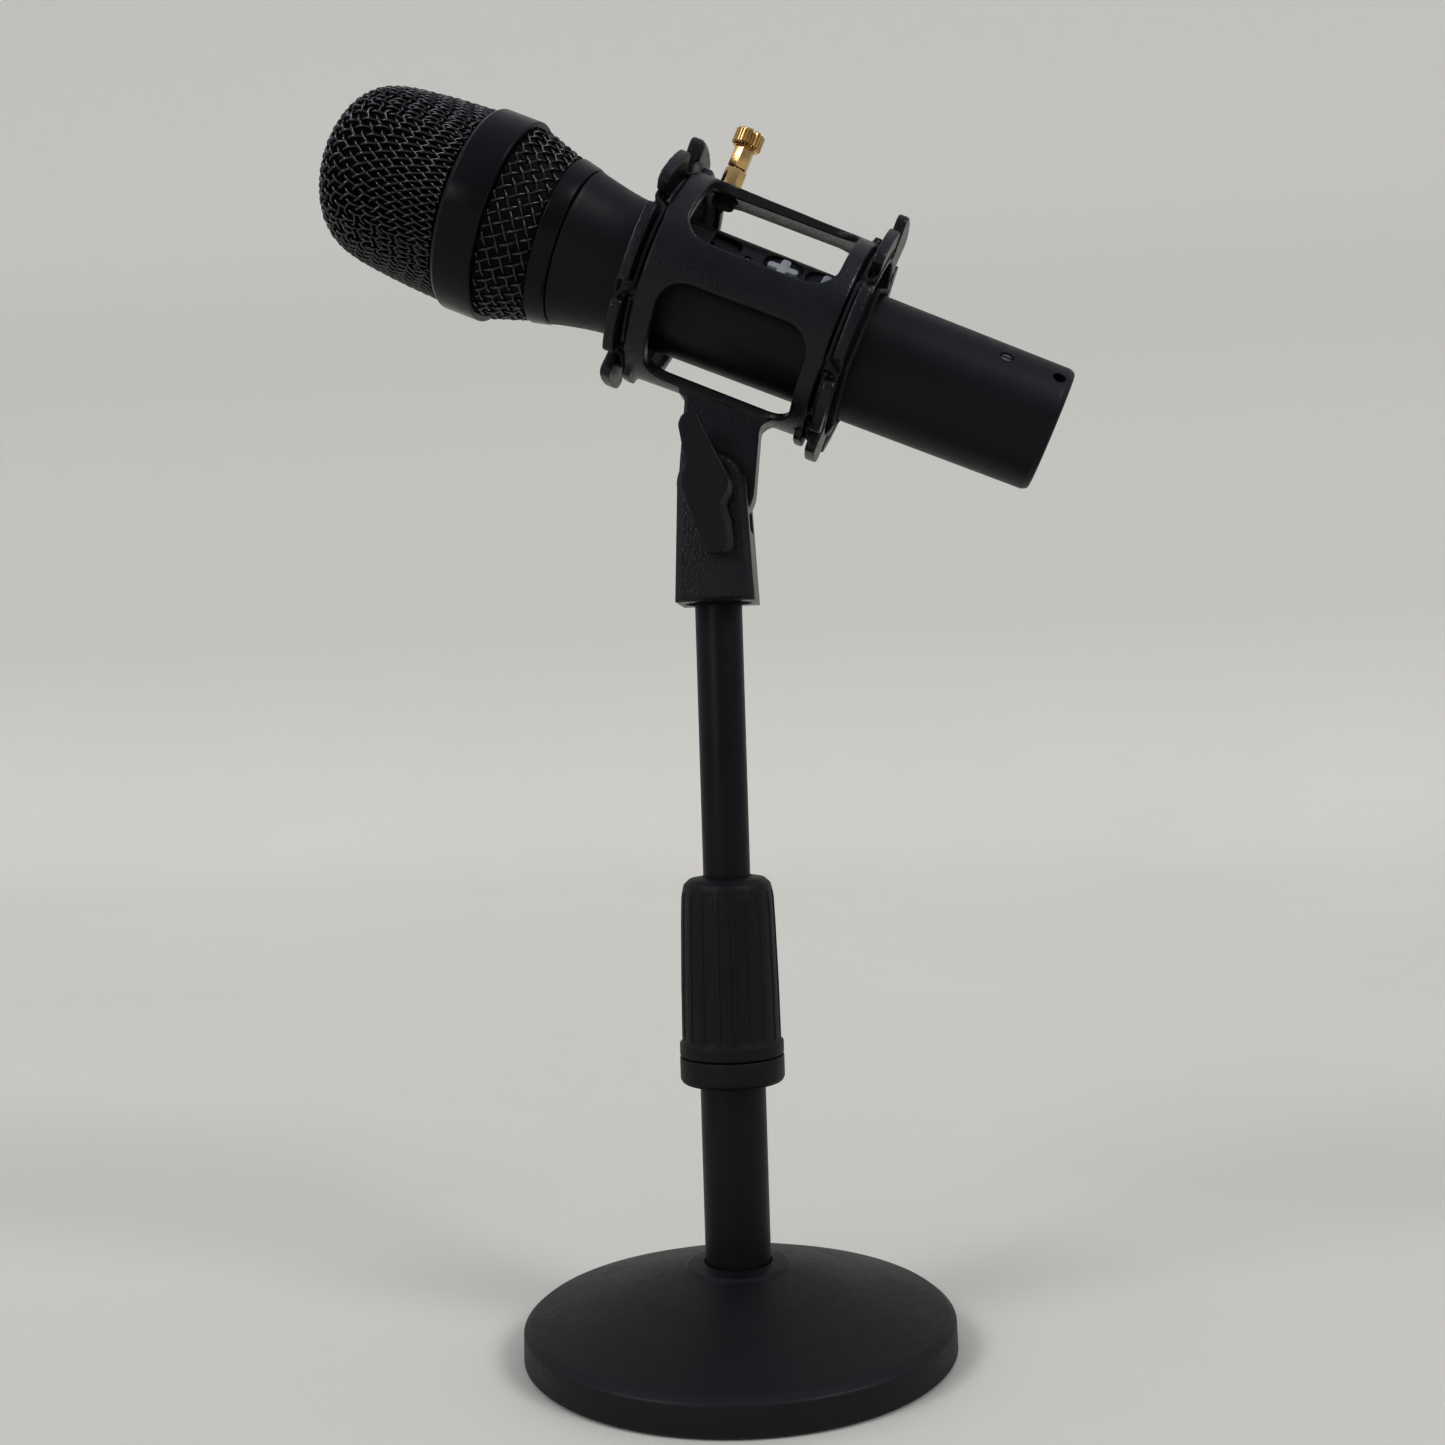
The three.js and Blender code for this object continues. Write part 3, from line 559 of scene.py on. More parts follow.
def lathe_x(name, profile_sr, seg=160, modulate=None):
    return lathe(name, [(r, s) for s, r in profile_sr], seg, "x", modulate)


def prism(name, outline, z0, z1, frame3=None):
    """extrudes an outline (x, y) from z0 to z1; frame3 maps to another frame"""
    n = len(outline)
    v = [(x, y, z0) for x, y in outline] + [(x, y, z1) for x, y in outline]
    f = [list(range(n))[::-1], list(range(n, 2 * n))] + [[i, (i + 1) % n, n + (i + 1) % n, n + i] for i in range(n)]
    o = raw(name, v, f)
    if frame3 is not None:
        o.data.transform(frame3)
    return o


# outline in XZ extruded along Y from y0 to y1 (shape x -> x, y -> z)
def slab(name, outline, y0, y1):
    return prism(name, outline, -y1, -y0, Matrix(((1, 0, 0, 0), (0, 0, -1, 0), (0, 1, 0, 0), (0, 0, 0, 1))))


def block(name, x0, x1, y0, y1, z0, z1):
    return prism(name, [(x0, y0), (x1, y0), (x1, y1), (x0, y1)], z0, z1)


def rod(name, axis, r, a, b, seg=48):
    pts = [(r * math.cos(t), r * math.sin(t)) for t in np.arange(seg) * 2 * math.pi / seg]
    m = {"z": Matrix.Identity(4), "x": Matrix(((0, 0, 1, 0), (0, 1, 0, 0), (-1, 0, 0, 0), (0, 0, 0, 1))),
         "y": Matrix(((1, 0, 0, 0), (0, 0, 1, 0), (0, -1, 0, 0), (0, 0, 0, 1)))}[axis]
    return prism(name, pts, a, b, m)


def tubes(name, lines, radius, sides=6, closed=False):
    """round tubes along polylines, all in one mesh"""
    verts, faces = [], []
    base = 0
    ang = np.arange(sides) * 2 * math.pi / sides
    for line in lines:
        p = np.array(line, float)
        n = len(p)
        if n < 2:
            continue
        if closed:
            t = np.roll(p, -1, 0) - np.roll(p, 1, 0)
        else:
            t = np.gradient(p, axis=0)
        t /= np.linalg.norm(t, axis=1)[:, None]
        ref = np.array([0.0, 0, 1.0])
        if abs(t[0] @ ref) > 0.9:
            ref = np.array([0.0, 1.0, 0])
        u = np.cross(t[0], ref)
        u /= np.linalg.norm(u)
        us = [u]
        for i in range(1, n):
            u = us[-1] - t[i] * (us[-1] @ t[i])
            u /= np.linalg.norm(u)
            us.append(u)
        us = np.array(us)
        if closed:
            u0 = us[-1] - t[0] * (us[-1] @ t[0])
            u0 /= np.linalg.norm(u0)
            w0 = np.cross(t[0], us[0])
            twist = math.atan2(float(u0 @ w0), float(u0 @ us[0]))
            for i in range(n):
                a = -twist * i / n
                w = np.cross(t[i], us[i])
                us[i] = us[i] * math.cos(a) + w * math.sin(a)
        ws = np.cross(t, us)
        ring = p[:, None, :] + radius * (us[:, None, :] * np.cos(ang)[None, :, None] + ws[:, None, :] * np.sin(ang)[None, :, None])
        verts.append(ring.reshape(-1, 3))
        m = n if closed else n - 1
        for i in range(m):
            a, b = base + i * sides, base + ((i + 1) % n) * sides
            faces += [[a + k, a + (k + 1) % sides, b + (k + 1) % sides, b + k] for k in range(sides)]
        if not closed:
            faces.append([base + k for k in range(sides)][::-1])
            faces.append([base + (n - 1) * sides + k for k in range(sides)])
        base += n * sides
    me = bpy.data.meshes.new(name)
    me.from_pydata(np.concatenate(verts).tolist(), [], faces)
    me.validate()
    o = bpy.data.objects.new(name, me)
    bpy.context.scene.collection.objects.link(o)
    bm = bmesh.new()
    bm.from_mesh(me)
    bmesh.ops.recalc_face_normals(bm, faces=bm.faces)
    bm.to_mesh(me)
    bm.free()
    return o


# ------------------------------------------------------------------ stand
prof = fillet([(9.8, 25.3), (10.9, 25.2), (14.6, 24.6), (15.8, 23.7), (30, 20.2), (45, 15.8), (60.2, 10.7), (62.35, 9.0), (62.5, 1.2), (61.9, 0.6),
               (59.8, 0.6), (59.8, 2.8), (20, 2.8), (20, 12), (9.8, 12)],
              [0.2, 0.5, 1.2, 2.0, 40, 60, 1.1, 1.3, 0.3, 0.2, 0, 0, 0, 0, 0], closed=True, n=6)
piece(lathe("base_casting_skin", densify(prof, 6, True), 256), "base_casting_skin", "base", "base", ["base_casting"], sharp=40)

piece(lathe("lower_tube_skin", fillet([(8.0, 4.4), (9.5, 4.4), (9.5, 96), (8.0, 96)], 0.25, True), 96),
      "lower_tube_skin", "base", "tube", ["lower_tube"])
piece(lathe("clutch_ring_skin", fillet([(9.8, 77.4), (14.5, 77.4), (15.15, 78.6), (15.15, 84.9), (11.2, 84.9), (11.2, 103), (9.8, 103)],
                                       [0.2, 1.0, 1.4, 0.35, 0, 0, 0], True), 128),
      "clutch_ring_skin", "base", "grip", ["clutch_ring"])

RIBS = 18
RIB_Z = (89.9, 133.0)


def ribs(th, r, h):
    """flat faces a little below the outline, with narrow raised ribs between them"""
    k = np.clip((h - RIB_Z[0]) / 0.5, 0, 1) * np.clip((RIB_Z[1] - h) / 0.7, 0, 1)
    d = np.abs(((th * RIBS / (2 * math.pi)) + 0.5) % 1.0 - 0.5) * (2 * math.pi / RIBS) * r
    low = np.clip((d - 0.55) / 0.22, 0, 1)
    low = low * low * (3 - 2 * low)
    crown = 0.10 * np.clip(1 - np.abs(d - 0.62) / 0.18, 0, 1)
    return r - 0.12 - k * (0.24 * low - crown)


g_out = fillet([(11.5, 85.3), (14.9, 85.3), (15.1, 85.7), (15.1, 88.8), (14.5, 89.5), (14.3, 105), (13.8, 124), (13.5, 130.8), (12.9, 134.4), (10.9, 136.2), (7.6, 136.8),
                (7.15, 136.6)], [0, 0.2, 0.3, 0.35, 0.3, 30, 30, 6, 2.4, 1.8, 0.6, 0], n=5)
g_in = [(7.15, 131.9), (10.75, 128), (11.5, 103.2)]
piece(lathe("clutch_grip_skin", densify(g_out, 0.45) + g_in, RIBS * 32, modulate=lambda th, r, h: ribs(th, r, h) if r > 12.7 and h > 89.0 else np.full(len(th), r)),
      "clutch_grip_skin", "grip", "grip", ["clutch_grip"], sharp=40)
piece(lathe("upper_tube_skin", fillet([(5.6, 89.4), (6.85, 89.4), (6.85, 233.6), (5.6, 233.6)], 0.2, True), 96),
      "upper_tube_skin", "mast", "tube", ["upper_tube"])

# ------------------------------------------------------------------ clip
PIVOT_Z = 249.2
CLIP_Z0 = 215.9


def clip_half(z):
    return 11.35 + (9.9 - 11.35) * (z - CLIP_Z0) / (243.5 - CLIP_Z0)


def clip_outline(inset):
    R = 9.9 - inset
    pts = [(-clip_half(CLIP_Z0) + inset, CLIP_Z0 + inset * 0.6), (clip_half(CLIP_Z0) - inset, CLIP_Z0 + inset * 0.6)]
    for i in range(33):
        a = rad(-6) + (math.pi + rad(12)) * i / 32
        pts.append((R * math.cos(a), PIVOT_Z + R * math.sin(a)))
    return pts


def loft_y(name, rings):
    """closed outlines with equal point counts at increasing y, capped"""
    n = len(rings[0][0])
    verts, faces = [], []
    for pts, y in rings:
        verts += [(x, y, z) for x, z in pts]
    for k in range(len(rings) - 1):
        a, b = k * n, (k + 1) * n
        faces += [[a + i, a + (i + 1) % n, b + (i + 1) % n, b + i] for i in range(n)]
    faces.append(list(range(n)))
    faces.append(list(range((len(rings) - 1) * n, len(rings) * n))[::-1])
    return raw(name, verts, faces)


clip = loft_y("clip", [(clip_outline(1.9), -13.0), (clip_outline(0), -11.1), (clip_outline(0), 11.1), (clip_outline(1.9), 13.0)])
clip = cut(clip, [rod("c", "z", 9.7, CLIP_Z0 - 5, 234.0, 64), block("c", -40, 40, -5.9, 5.9, 236.3, 300),
                  slab("c", [(3.3 * math.cos(t), PIVOT_Z + 3.3 * math.sin(t)) for t in np.arange(32) * math.pi / 16], -30, 30)])
clip = bevel(clip, 0.32, 3, 28)
piece(clip, "clip_body_skin", "mast", "clip", ["clip_body"], sharp=24)

# wing knob
wing = [(-2.3, 18.1), (-3.6, 18.9), (-5.4, 18.9), (-6.9, 17.8), (-7.9, 15.6), (-7.1, 10.5), (-6.2, 5.2), (-6.6, 3.6), (-7.5, 1.6),
        (-7.7, -1.4), (-5.1, -9.6), (-2.3, -18.2), (-0.7, -20.5), (2.2, -21.2), (5.0, -20.7), (6.5, -18.6), (6.1, -12.2),
        (4.8, -6.9), (5.6, -5.4), (6.6, -3.4), (6.5, -0.6), (1.8, 8.8)]
wing = fillet(wing, [1.2, 1.2, 1.5, 1.8, 3, 6, 2.5, 1.5, 2.5, 3, 0, 3, 1.8, 1.8, 1.6, 2.5, 6, 2.0, 1.5, 2.0, 2.5, 0], True, 4)
wing = [(x, PIVOT_Z + z) for x, z in wing]


def inset_poly(pts, d):
    """moves each point of a closed outline inwards by about d"""
    p = np.array(pts, float)
    t = np.roll(p, -1, 0) - np.roll(p, 1, 0)
    t /= np.maximum(np.linalg.norm(t, axis=1), 1e-9)[:, None]
    area = 0.5 * np.sum(p[:, 0] * np.roll(p[:, 1], -1) - np.roll(p[:, 0], -1) * p[:, 1])
    nrm = np.stack([-t[:, 1], t[:, 0]], 1) * (1 if area > 0 else -1)
    return [tuple(v) for v in p + nrm * d]


wing = densify(wing, 0.8, True)


def draft(pts, d):
    """draws the lower right side of the outline in towards the front face"""
    out = []
    for x, z in pts:
        h = np.clip((PIVOT_Z + 2.0 - z) / 7.0, 0, 1)
        k = np.clip((x - 0.5) / 3.0, 0, 1) * h
        out.append((x - d * k, z))
    return out


blade = loft_y("blade", [(draft(inset_poly(wing, 0.55), 1.5), -22.0), (draft(inset_poly(wing, 0.18), 1.5), -21.8), (draft(inset_poly(wing, 0.02), 1.45), -21.35),
                         (draft(wing, 0.1), -18.0), (inset_poly(wing, 0.05), -17.2), (inset_poly(wing, 0.5), -16.3), (inset_poly(wing, 0.9), -16.0)])
hub = slab("hub", [(5.6 * math.cos(t), PIVOT_Z + 5.6 * math.sin(t)) for t in np.arange(64) * math.pi / 32], -16.8, -14.8)
knob = merge("knob", [blade, hub])
knob = voxel(knob, 0.17, 1)
knob = cut(knob, [slab("c", [(3.3 * math.cos(t), PIVOT_Z + 3.3 * math.sin(t)) for t in np.arange(32) * math.pi / 16], -20.6, -10)])
piece(knob, "wing_knob_skin", "wing", "lever", ["wing_knob"], sharp=60)

# ------------------------------------------------------------------ cage
S0, S1 = -15.0, 40.9
R0, R1 = 30.5, 29.2
BORE, END_BORE, NECK_R = 27.1, 25.8, 27.5
GROOVE, TAB_T = 2.1, 3.1
BAR_HALF = rad(11.8)
F0, F1 = S0 - GROOVE - TAB_T, S1 + GROOVE + TAB_T
CHANNEL = 2.1
shell = lathe_x("shell", [
    (F0, END_BORE), (-12.8, END_BORE), (-10.4, BORE), (38.0, BORE), (40.4, END_BORE), (F1, END_BORE), (F1, NECK_R), (S1, NECK_R),
    (S1, R1 - 0.6), (S1 - 0.6, R1), (S0 + 0.6, R0), (S0, R0 - 0.6), (S0, NECK_R), (F0, NECK_R)], 192)


def polar(s, th, r):
    return (s, -math.cos(th) * r, math.sin(th) * r)


def wrapped(name, outline, centre, r0, r1, rim=29.7):
    """an outline in (s, arc length) wrapped round the axis, from radius r0 to r1"""
    pts = densify(outline, 1.2, True)
    n = len(pts)
    v = [polar(s, centre + t / rim, r0) for s, t in pts] + [polar(s, centre + t / rim, r1) for s, t in pts]
    f = [list(range(n)), list(range(n, 2 * n))[::-1]] + [[i, (i + 1) % n, n + (i + 1) % n, n + i] for i in range(n)]
    return raw(name, v, f)


w = (math.pi / 4 - BAR_HALF) * 29.7
win = fillet([(-8.5, -w), (35.6, -w), (35.6, w), (-8.5, w)], 8.0, True, 10)
shell = cut(shell, [wrapped("w", win, math.pi / 4 + k * math.pi / 2, 20, 46) for k in range(4)])


def tab(centre, half, outer, s0, s1, inner=26.6, e=1.6):
    n = 18
    out = []
    for i in range(n + 1):
        a = rad(centre - half + 2 * half * i / n)
        d = e * max(0.0, 1 - min(i, n - i) / 1.5)
        out.append((a, outer - d))
    ins = [(rad(centre + half - 2 * half * i / n), inner) for i in range(n + 1)]
    ring = out + ins
    k = len(ring)
    v = [polar(s0, a, r) for a, r in ring] + [polar(s1, a, r) for a, r in ring]
    f = [list(range(k)), list(range(k, 2 * k))[::-1]] + [[i, (i + 1) % k, k + (i + 1) % k, k + i] for i in range(k)]
    return raw("tab", v, f)


TABS = [[0, 21.5, 33.0], [47.5, 16.2, 35.4], [90, 17, 38.9], [132.5, 16.2, 35.4], [180, 21.5, 33.0], [227.5, 16.2, 33.4], [270, 17, 35.6, 34.4], [312.5, 16.2, 33.4]]
parts = [shell]
for k, (a, b) in enumerate(((F0, S0 - GROOVE), (S1 + GROOVE, F1))):
    for c, h, *r in TABS:
        parts.append(tab(c, h, r[-1] if k else r[0], a, b))
for c, h, r, a, b in ((90, 12, 32.2, S0, S0 + 3.0), (270, 12, 32.4, S0, S0 + 2.6), (90, 12, 31.0, S1 - 2.2, S1), (270, 12, 31.6, S1 - 2.6, S1)):
    parts.append(tab(c, h, r, a, b))
parts.append(tab(90, 15.5, 38.3, S0 - GROOVE - 0.1, S0 - 1.5, inner=32.8))
parts.append(tab(90, 14.8, 37.4, S0 - GROOVE - 0.1, S0 - 1.0, inner=32.8))

# stem, in the stand frame, brought into the cage frame
lean = rad(6.2)
TX, TZ = 0.8, 248.7


def at(h, wd):
    return (TX + math.sin(lean) * h + math.cos(lean) * wd, TZ + math.cos(lean) * h - math.sin(lean) * wd)


sp = [at(11.1 * math.sin(math.pi + math.pi * i / 32), 11.1 * math.cos(math.pi + math.pi * i / 32)) for i in range(33)]
sp += [at(17.0, 11.1), at(18.2, 11.35), at(19.2, 12.1), at(19.9, 13.4), at(20.6, 15.0), at(23, 18), at(33, 18), at(33, -13), at(26.9, -13), at(26.0, -11.6), at(25.0, -11.1)]
stem = slab("stem", sp, -5.6, 5.6)
stem = cut(stem, [slab("c", [(3.3 * math.cos(t), PIVOT_Z + 3.3 * math.sin(t)) for t in np.arange(48) * math.pi / 24], -20, 20)])
stem.data.transform(CAGE.inverted())
stem = cut(stem, [lathe_x("bore", [(-60, 0), (-60, BORE), (80, BORE), (80, 0)], 192)])
parts.append(stem)
cage = merge("cage", parts)
cage = voxel(cage, 0.36, 0)


def notch(centre, s0, s1):
    o = block("n", s0, s1, -2.3, 2.3, 26.6, 45)
    o.data.transform(Matrix.Rotation(-(rad(centre) - math.pi / 2), 4, "X"))
    return o


cutters = []
for c in (25.6, 68.4, 111.6, 154.4, 205.6, 248.4, 291.6, 334.4):
    cutters += [notch(c, F0 - 2, S0 - 0.01), notch(c, S1 + 0.01, F1 + 2)]
for i, (c, *_) in enumerate(TABS):
    if i % 2:
        cutters += [tab(c, 19.5, 30.1, F0 - 1, F0 + CHANNEL, inner=27.7, e=0), tab(c, 19.5, 30.1, F1 - CHANNEL, F1 + 1, inner=27.7, e=0)]
cutters.append(lathe("seat", [(0, 20), (3.6, 20), (3.6, 45), (0, 45)], 48))
cutters[-1].data.transform(Matrix.Translation((-6.8, 0, 0)))
cage = cut(cage, cutters)
cage = voxel(cage, 0.36, 3, 0.5)
piece(cage, "cage_skin", "head", "cage", ["cage"], CAGE, sharp=0)

# elastic cord
def spline(points, count):
    """closed centripetal-like smooth curve through points"""
    p = np.array(points, float)
    n = len(p)
    seg = np.linalg.norm(np.roll(p, -1, 0) - p, axis=1) ** 0.5
    out = []
    total = np.linalg.norm(np.roll(p, -1, 0) - p, axis=1)
    for i in range(n):
        p0, p1, p2, p3 = p[i - 1], p[i], p[(i + 1) % n], p[(i + 2) % n]
        d0, d1, d2 = max(seg[i - 1], 1e-6), max(seg[i], 1e-6), max(seg[(i + 1) % n], 1e-6)
        t1 = ((p1 - p0) / d0 - (p2 - p0) / (d0 + d1) + (p2 - p1) / d1) * d1
        t2 = ((p2 - p1) / d1 - (p3 - p1) / (d1 + d2) + (p3 - p2) / d2) * d1
        k = max(2, int(round(count * total[i] / total.sum())))
        for j in range(k):
            t = j / k
            out.append((2 * t**3 - 3 * t**2 + 1) * p1 + (t**3 - 2 * t**2 + t) * t1 + (-2 * t**3 + 3 * t**2) * p2 + (t**3 - t**2) * t2)
    return out


CORD = 0.75
for nm, inner, outer in (("front", S0 - GROOVE / 2, F0 + 0.1 + CORD), ("rear", S1 + GROOVE / 2, F1 - 0.1 - CORD)):
    pts = []
    r = NECK_R + 0.45 + CORD
    for i, (c, h, *_) in enumerate(TABS):
        s = inner if i % 2 == 0 else outer
        f = (-1.06, -0.8, -0.4, 0, 0.4, 0.8, 1.06) if i % 2 == 0 else (-1.1, -0.6, 0, 0.6, 1.1)
        pts += [polar(s, rad(c + k * h), r) for k in f]
    piece(tubes(nm + "_cord", [spline(pts, 420)], CORD, 14, True), nm + "_cord", "head", "elastic", [nm + "_elastic"], CAGE, sharp=0)


def hull(points):
    pts = sorted(map(tuple, points))
    cr = lambda o, a, b: (a[0] - o[0]) * (b[1] - o[1]) - (a[1] - o[1]) * (b[0] - o[0])

    def chain(seq):
        h = []
        for q in seq:
            while len(h) > 1 and cr(h[-2], h[-1], q) <= 1e-9:
                h.pop()
            h.append(q)
        return h[:-1]
    return chain(pts) + chain(pts[::-1])


for nm, s, barrel in (("front", F0 - 0.3 - CORD, 19.5), ("rear", F1 + 0.3 + CORD, 18.75)):
    rho = barrel + 0.3 + CORD
    cloud = [(rho * math.cos(t), rho * math.sin(t)) for t in np.arange(96) * math.pi / 48]
    for c in (25.6, 154.4, 205.6, 334.4):
        hy, hz = -math.cos(rad(c)) * 25.4, math.sin(rad(c)) * 25.4 + CAGE_UP
        cloud += [(hy + 0.9 * math.cos(t), hz + 0.9 * math.sin(t)) for t in np.arange(16) * math.pi / 8]
    line = [(s, y, z) for y, z in densify(hull(cloud), 1.2, True)]
    piece(tubes(nm + "_sling_cord", [line], CORD, 12, True), nm + "_sling_cord", "head", "elastic", [nm + "_sling"], HEAD, sharp=0)

# ------------------------------------------------------------------ clamp screw
def knurl(th, r, h):
    tooth = np.abs(((th * 26 / (2 * math.pi)) % 1.0) - 0.5) * 2
    k = 1.0 if r > 4.05 else 0.0
    return r - 0.48 * k * (1 - np.clip(tooth * 1.7, 0, 1))


head = lathe("screw", [(0, 26.4), (1.9, 26.4), (1.9, 36.2), (1.9, 42.2), (2.2, 42.3), (3.5, 42.3), (3.9, 42.5), (4.4, 43.0), (4.4, 44.8), (4.4, 46.8), (4.0, 47.2), (3.6, 47.4), (0, 47.4)],
             26 * 10, modulate=knurl)
head = cut(head, [block("c", -6, 6, -0.45, 0.45, 46.3, 52)])
head.data.transform(Matrix.Rotation(-1.15, 4, "Z"))
hexa = [(3.1 * math.cos(t), 3.1 * math.sin(t)) for t in np.arange(6) * math.pi / 3]
neck = bevel(prism("neck", hexa, 36.0, 42.5), 0.18, 2, 30)
neck.data.transform(Matrix.Rotation(0.55, 4, "Z"))
screw = merge("screw", [head, neck])
screw.data.transform(Matrix.Translation((-6.8, 0, 0)))
piece(screw, "clamp_screw_skin", "thumbscrew", "brass", ["clamp_screw"], CAGE, sharp=24)
hexa = [(3.3 * math.cos(t), 3.3 * math.sin(t)) for t in np.arange(6) * math.pi / 3]
nut = prism("nut", hexa, 28.2, 35.6)
nut = cut(nut, [rod("c", "z", 2.2, 20, 40, 48)])
nut = bevel(nut, 0.25, 2, 30)
nut.data.transform(Matrix.Translation((-6.8, 0, 0)))
piece(nut, "screw_insert_skin", "head", "brass", ["screw_insert"], CAGE, sharp=24)

# ------------------------------------------------------------------ microphone
basket = [(-121.25, 0.0), (-120.6, 7.0), (-119.2, 12.0), (-116.95, 17.0), (-114.1, 21.0), (-110.5, 23.8), (-104, 26.0), (-98, 26.9), (-88, 27.9), (-75.5, 28.6)]
WIRE_R = 0.43
PITCH = 3.05


def smooth_profile(pts, step=0.25):
    p = np.array(pts, float)
    d = np.r_[0, np.cumsum(np.linalg.norm(np.diff(p, axis=0), axis=1))]
    m = np.arange(0, d[-1], step)
    # monotone-ish cubic through the points
    t = np.gradient(p, d, axis=0)
    t[0] = (0, np.linalg.norm(t[0]))
    i = np.clip(np.searchsorted(d, m, "right") - 1, 0, len(d) - 2)
    h = (d[i + 1] - d[i])
    x = ((m - d[i]) / h)[:, None]
    h = h[:, None]
    q = (2 * x**3 - 3 * x**2 + 1) * p[i] + (x**3 - 2 * x**2 + x) * h * t[i] + (-2 * x**3 + 3 * x**2) * p[i + 1] + (x**3 - x**2) * h * t[i + 1]
    return q


outer = smooth_profile(basket)
tan = np.gradient(outer, axis=0)
tan /= np.linalg.norm(tan, axis=1)[:, None]
nor = np.stack([-tan[:, 1], tan[:, 0]], 1)  # outwards for a profile running from the nose
mid = outer + nor * (-(2 * WIRE_R + 0.02))
mid[:, 1] = np.maximum(mid[:, 1], 0)
mid[0] = (outer[0, 0] + 2 * WIRE_R + 0.02, 0)
# virtual straight run past the rim, so that the cloth reaches it everywhere
end_dir = tan[-1]
extra = np.array([mid[-1] + end_dir * k * 0.25 for k in range(1, 80)])
prof_m = np.concatenate([mid, extra])
prof_n = np.concatenate([nor, np.repeat(nor[-1:], len(extra), 0)])
prof_n[0] = (-1, 0)
arc = np.r_[0, np.cumsum(np.linalg.norm(np.diff(prof_m, axis=0), axis=1))]


def on_surface(P):
    """moves points to the nearest place on the basket's middle surface"""
    r = np.hypot(P[:, 1], P[:, 2])
    best = np.empty(len(P), int)
    for a in range(0, len(P), 500):
        b = slice(a, a + 500)
        dd = (P[b, 0][:, None] - prof_m[None, :, 0]) ** 2 + (r[b][:, None] - prof_m[None, :, 1]) ** 2
        best[b] = dd.argmin(1)
    # refine between samples
    j = np.clip(best, 1, len(prof_m) - 2)
    t = prof_m[j + 1] - prof_m[j - 1]
    q = np.stack([P[:, 0], r], 1) - prof_m[j]
    f = np.clip((q * t).sum(1) / (t * t).sum(1), -0.5, 0.5)
    pt = prof_m[j] + t * f[:, None]
    n2 = prof_n[j]
    rr = np.maximum(r, 1e-9)
    c, s = P[:, 1] / rr, P[:, 2] / rr
    out = np.stack([pt[:, 0], pt[:, 1] * c, pt[:, 1] * s], 1)
    nn = np.stack([n2[:, 0], n2[:, 1] * c, n2[:, 1] * s], 1)
    return out, nn


def drape():
    """a square-woven sheet pressed over the basket: edges keep their length, the weave shears"""
    half = 23
    ij = np.arange(-half, half + 1)
    I, J = np.meshgrid(ij, ij, indexing="ij")
    X, Y = (I + 0.5 * 0) * PITCH, J * PITCH
    R = np.hypot(X, Y)
    phi = np.arctan2(Y, X)
    wgt = np.sin(2 * phi) ** 2
    m = np.zeros_like(R)
    steps = 160
    cur = np.zeros_like(R)
    for k in range(steps):
        Rk = R * (k + 0.5) / steps
        rk = np.interp(m, arc, prof_m[:, 1])
        c = np.clip(rk / np.maximum(Rk, 1e-6), 0, 1)
        m = m + R / steps * ((1 - wgt) + wgt * np.sqrt(np.maximum(0.3, 2 - c * c)))
    m = np.minimum(m, arc[-1] - 0.3)
    s = np.interp(m, arc, prof_m[:, 0])
    r = np.interp(m, arc, prof_m[:, 1])
    turn = rad(37)
    a = phi + turn
    P = np.stack([s, -np.cos(a) * r, np.sin(a) * r], -1)
    keep = m < arc[-1] - 0.6
    for it in range(140):
        D = np.zeros_like(P)
        W = np.zeros(P.shape[:2])
        for ax in (0, 1):
            A = P[:-1] if ax == 0 else P[:, :-1]
            B = P[1:] if ax == 0 else P[:, 1:]
            d = B - A
            L = np.linalg.norm(d, axis=-1)
            corr = d * ((L - PITCH) / np.maximum(L, 1e-6) * 0.5)[..., None]
            both = (keep[:-1] & keep[1:]) if ax == 0 else (keep[:, :-1] & keep[:, 1:])
            corr = corr * both[..., None]
            if ax == 0:
                D[:-1] += corr; D[1:] -= corr; W[:-1] += both; W[1:] += both
            else:
                D[:, :-1] += corr; D[:, 1:] -= corr; W[:, :-1] += both; W[:, 1:] += both
        for (A, B, sa, sb) in ((P[:-1, :-1], P[1:, 1:], (slice(None, -1), slice(None, -1)), (slice(1, None), slice(1, None))),
                               (P[1:, :-1], P[:-1, 1:], (slice(1, None), slice(None, -1)), (slice(None, -1), slice(1, None)))):
            d = B - A
            L = np.linalg.norm(d, axis=-1)
            lim = PITCH * 0.80
            short = np.minimum(L - lim, 0)
            corr = d * (short / np.maximum(L, 1e-6) * 0.5)[..., None]
            D[sa] += corr; D[sb] -= corr
            W[sa] += (short < 0); W[sb] += (short < 0)
        P = P + D / np.maximum(W, 1)[..., None] * 0.9
        flat, _ = on_surface(P.reshape(-1, 3))
        P = flat.reshape(P.shape)
    return P, keep


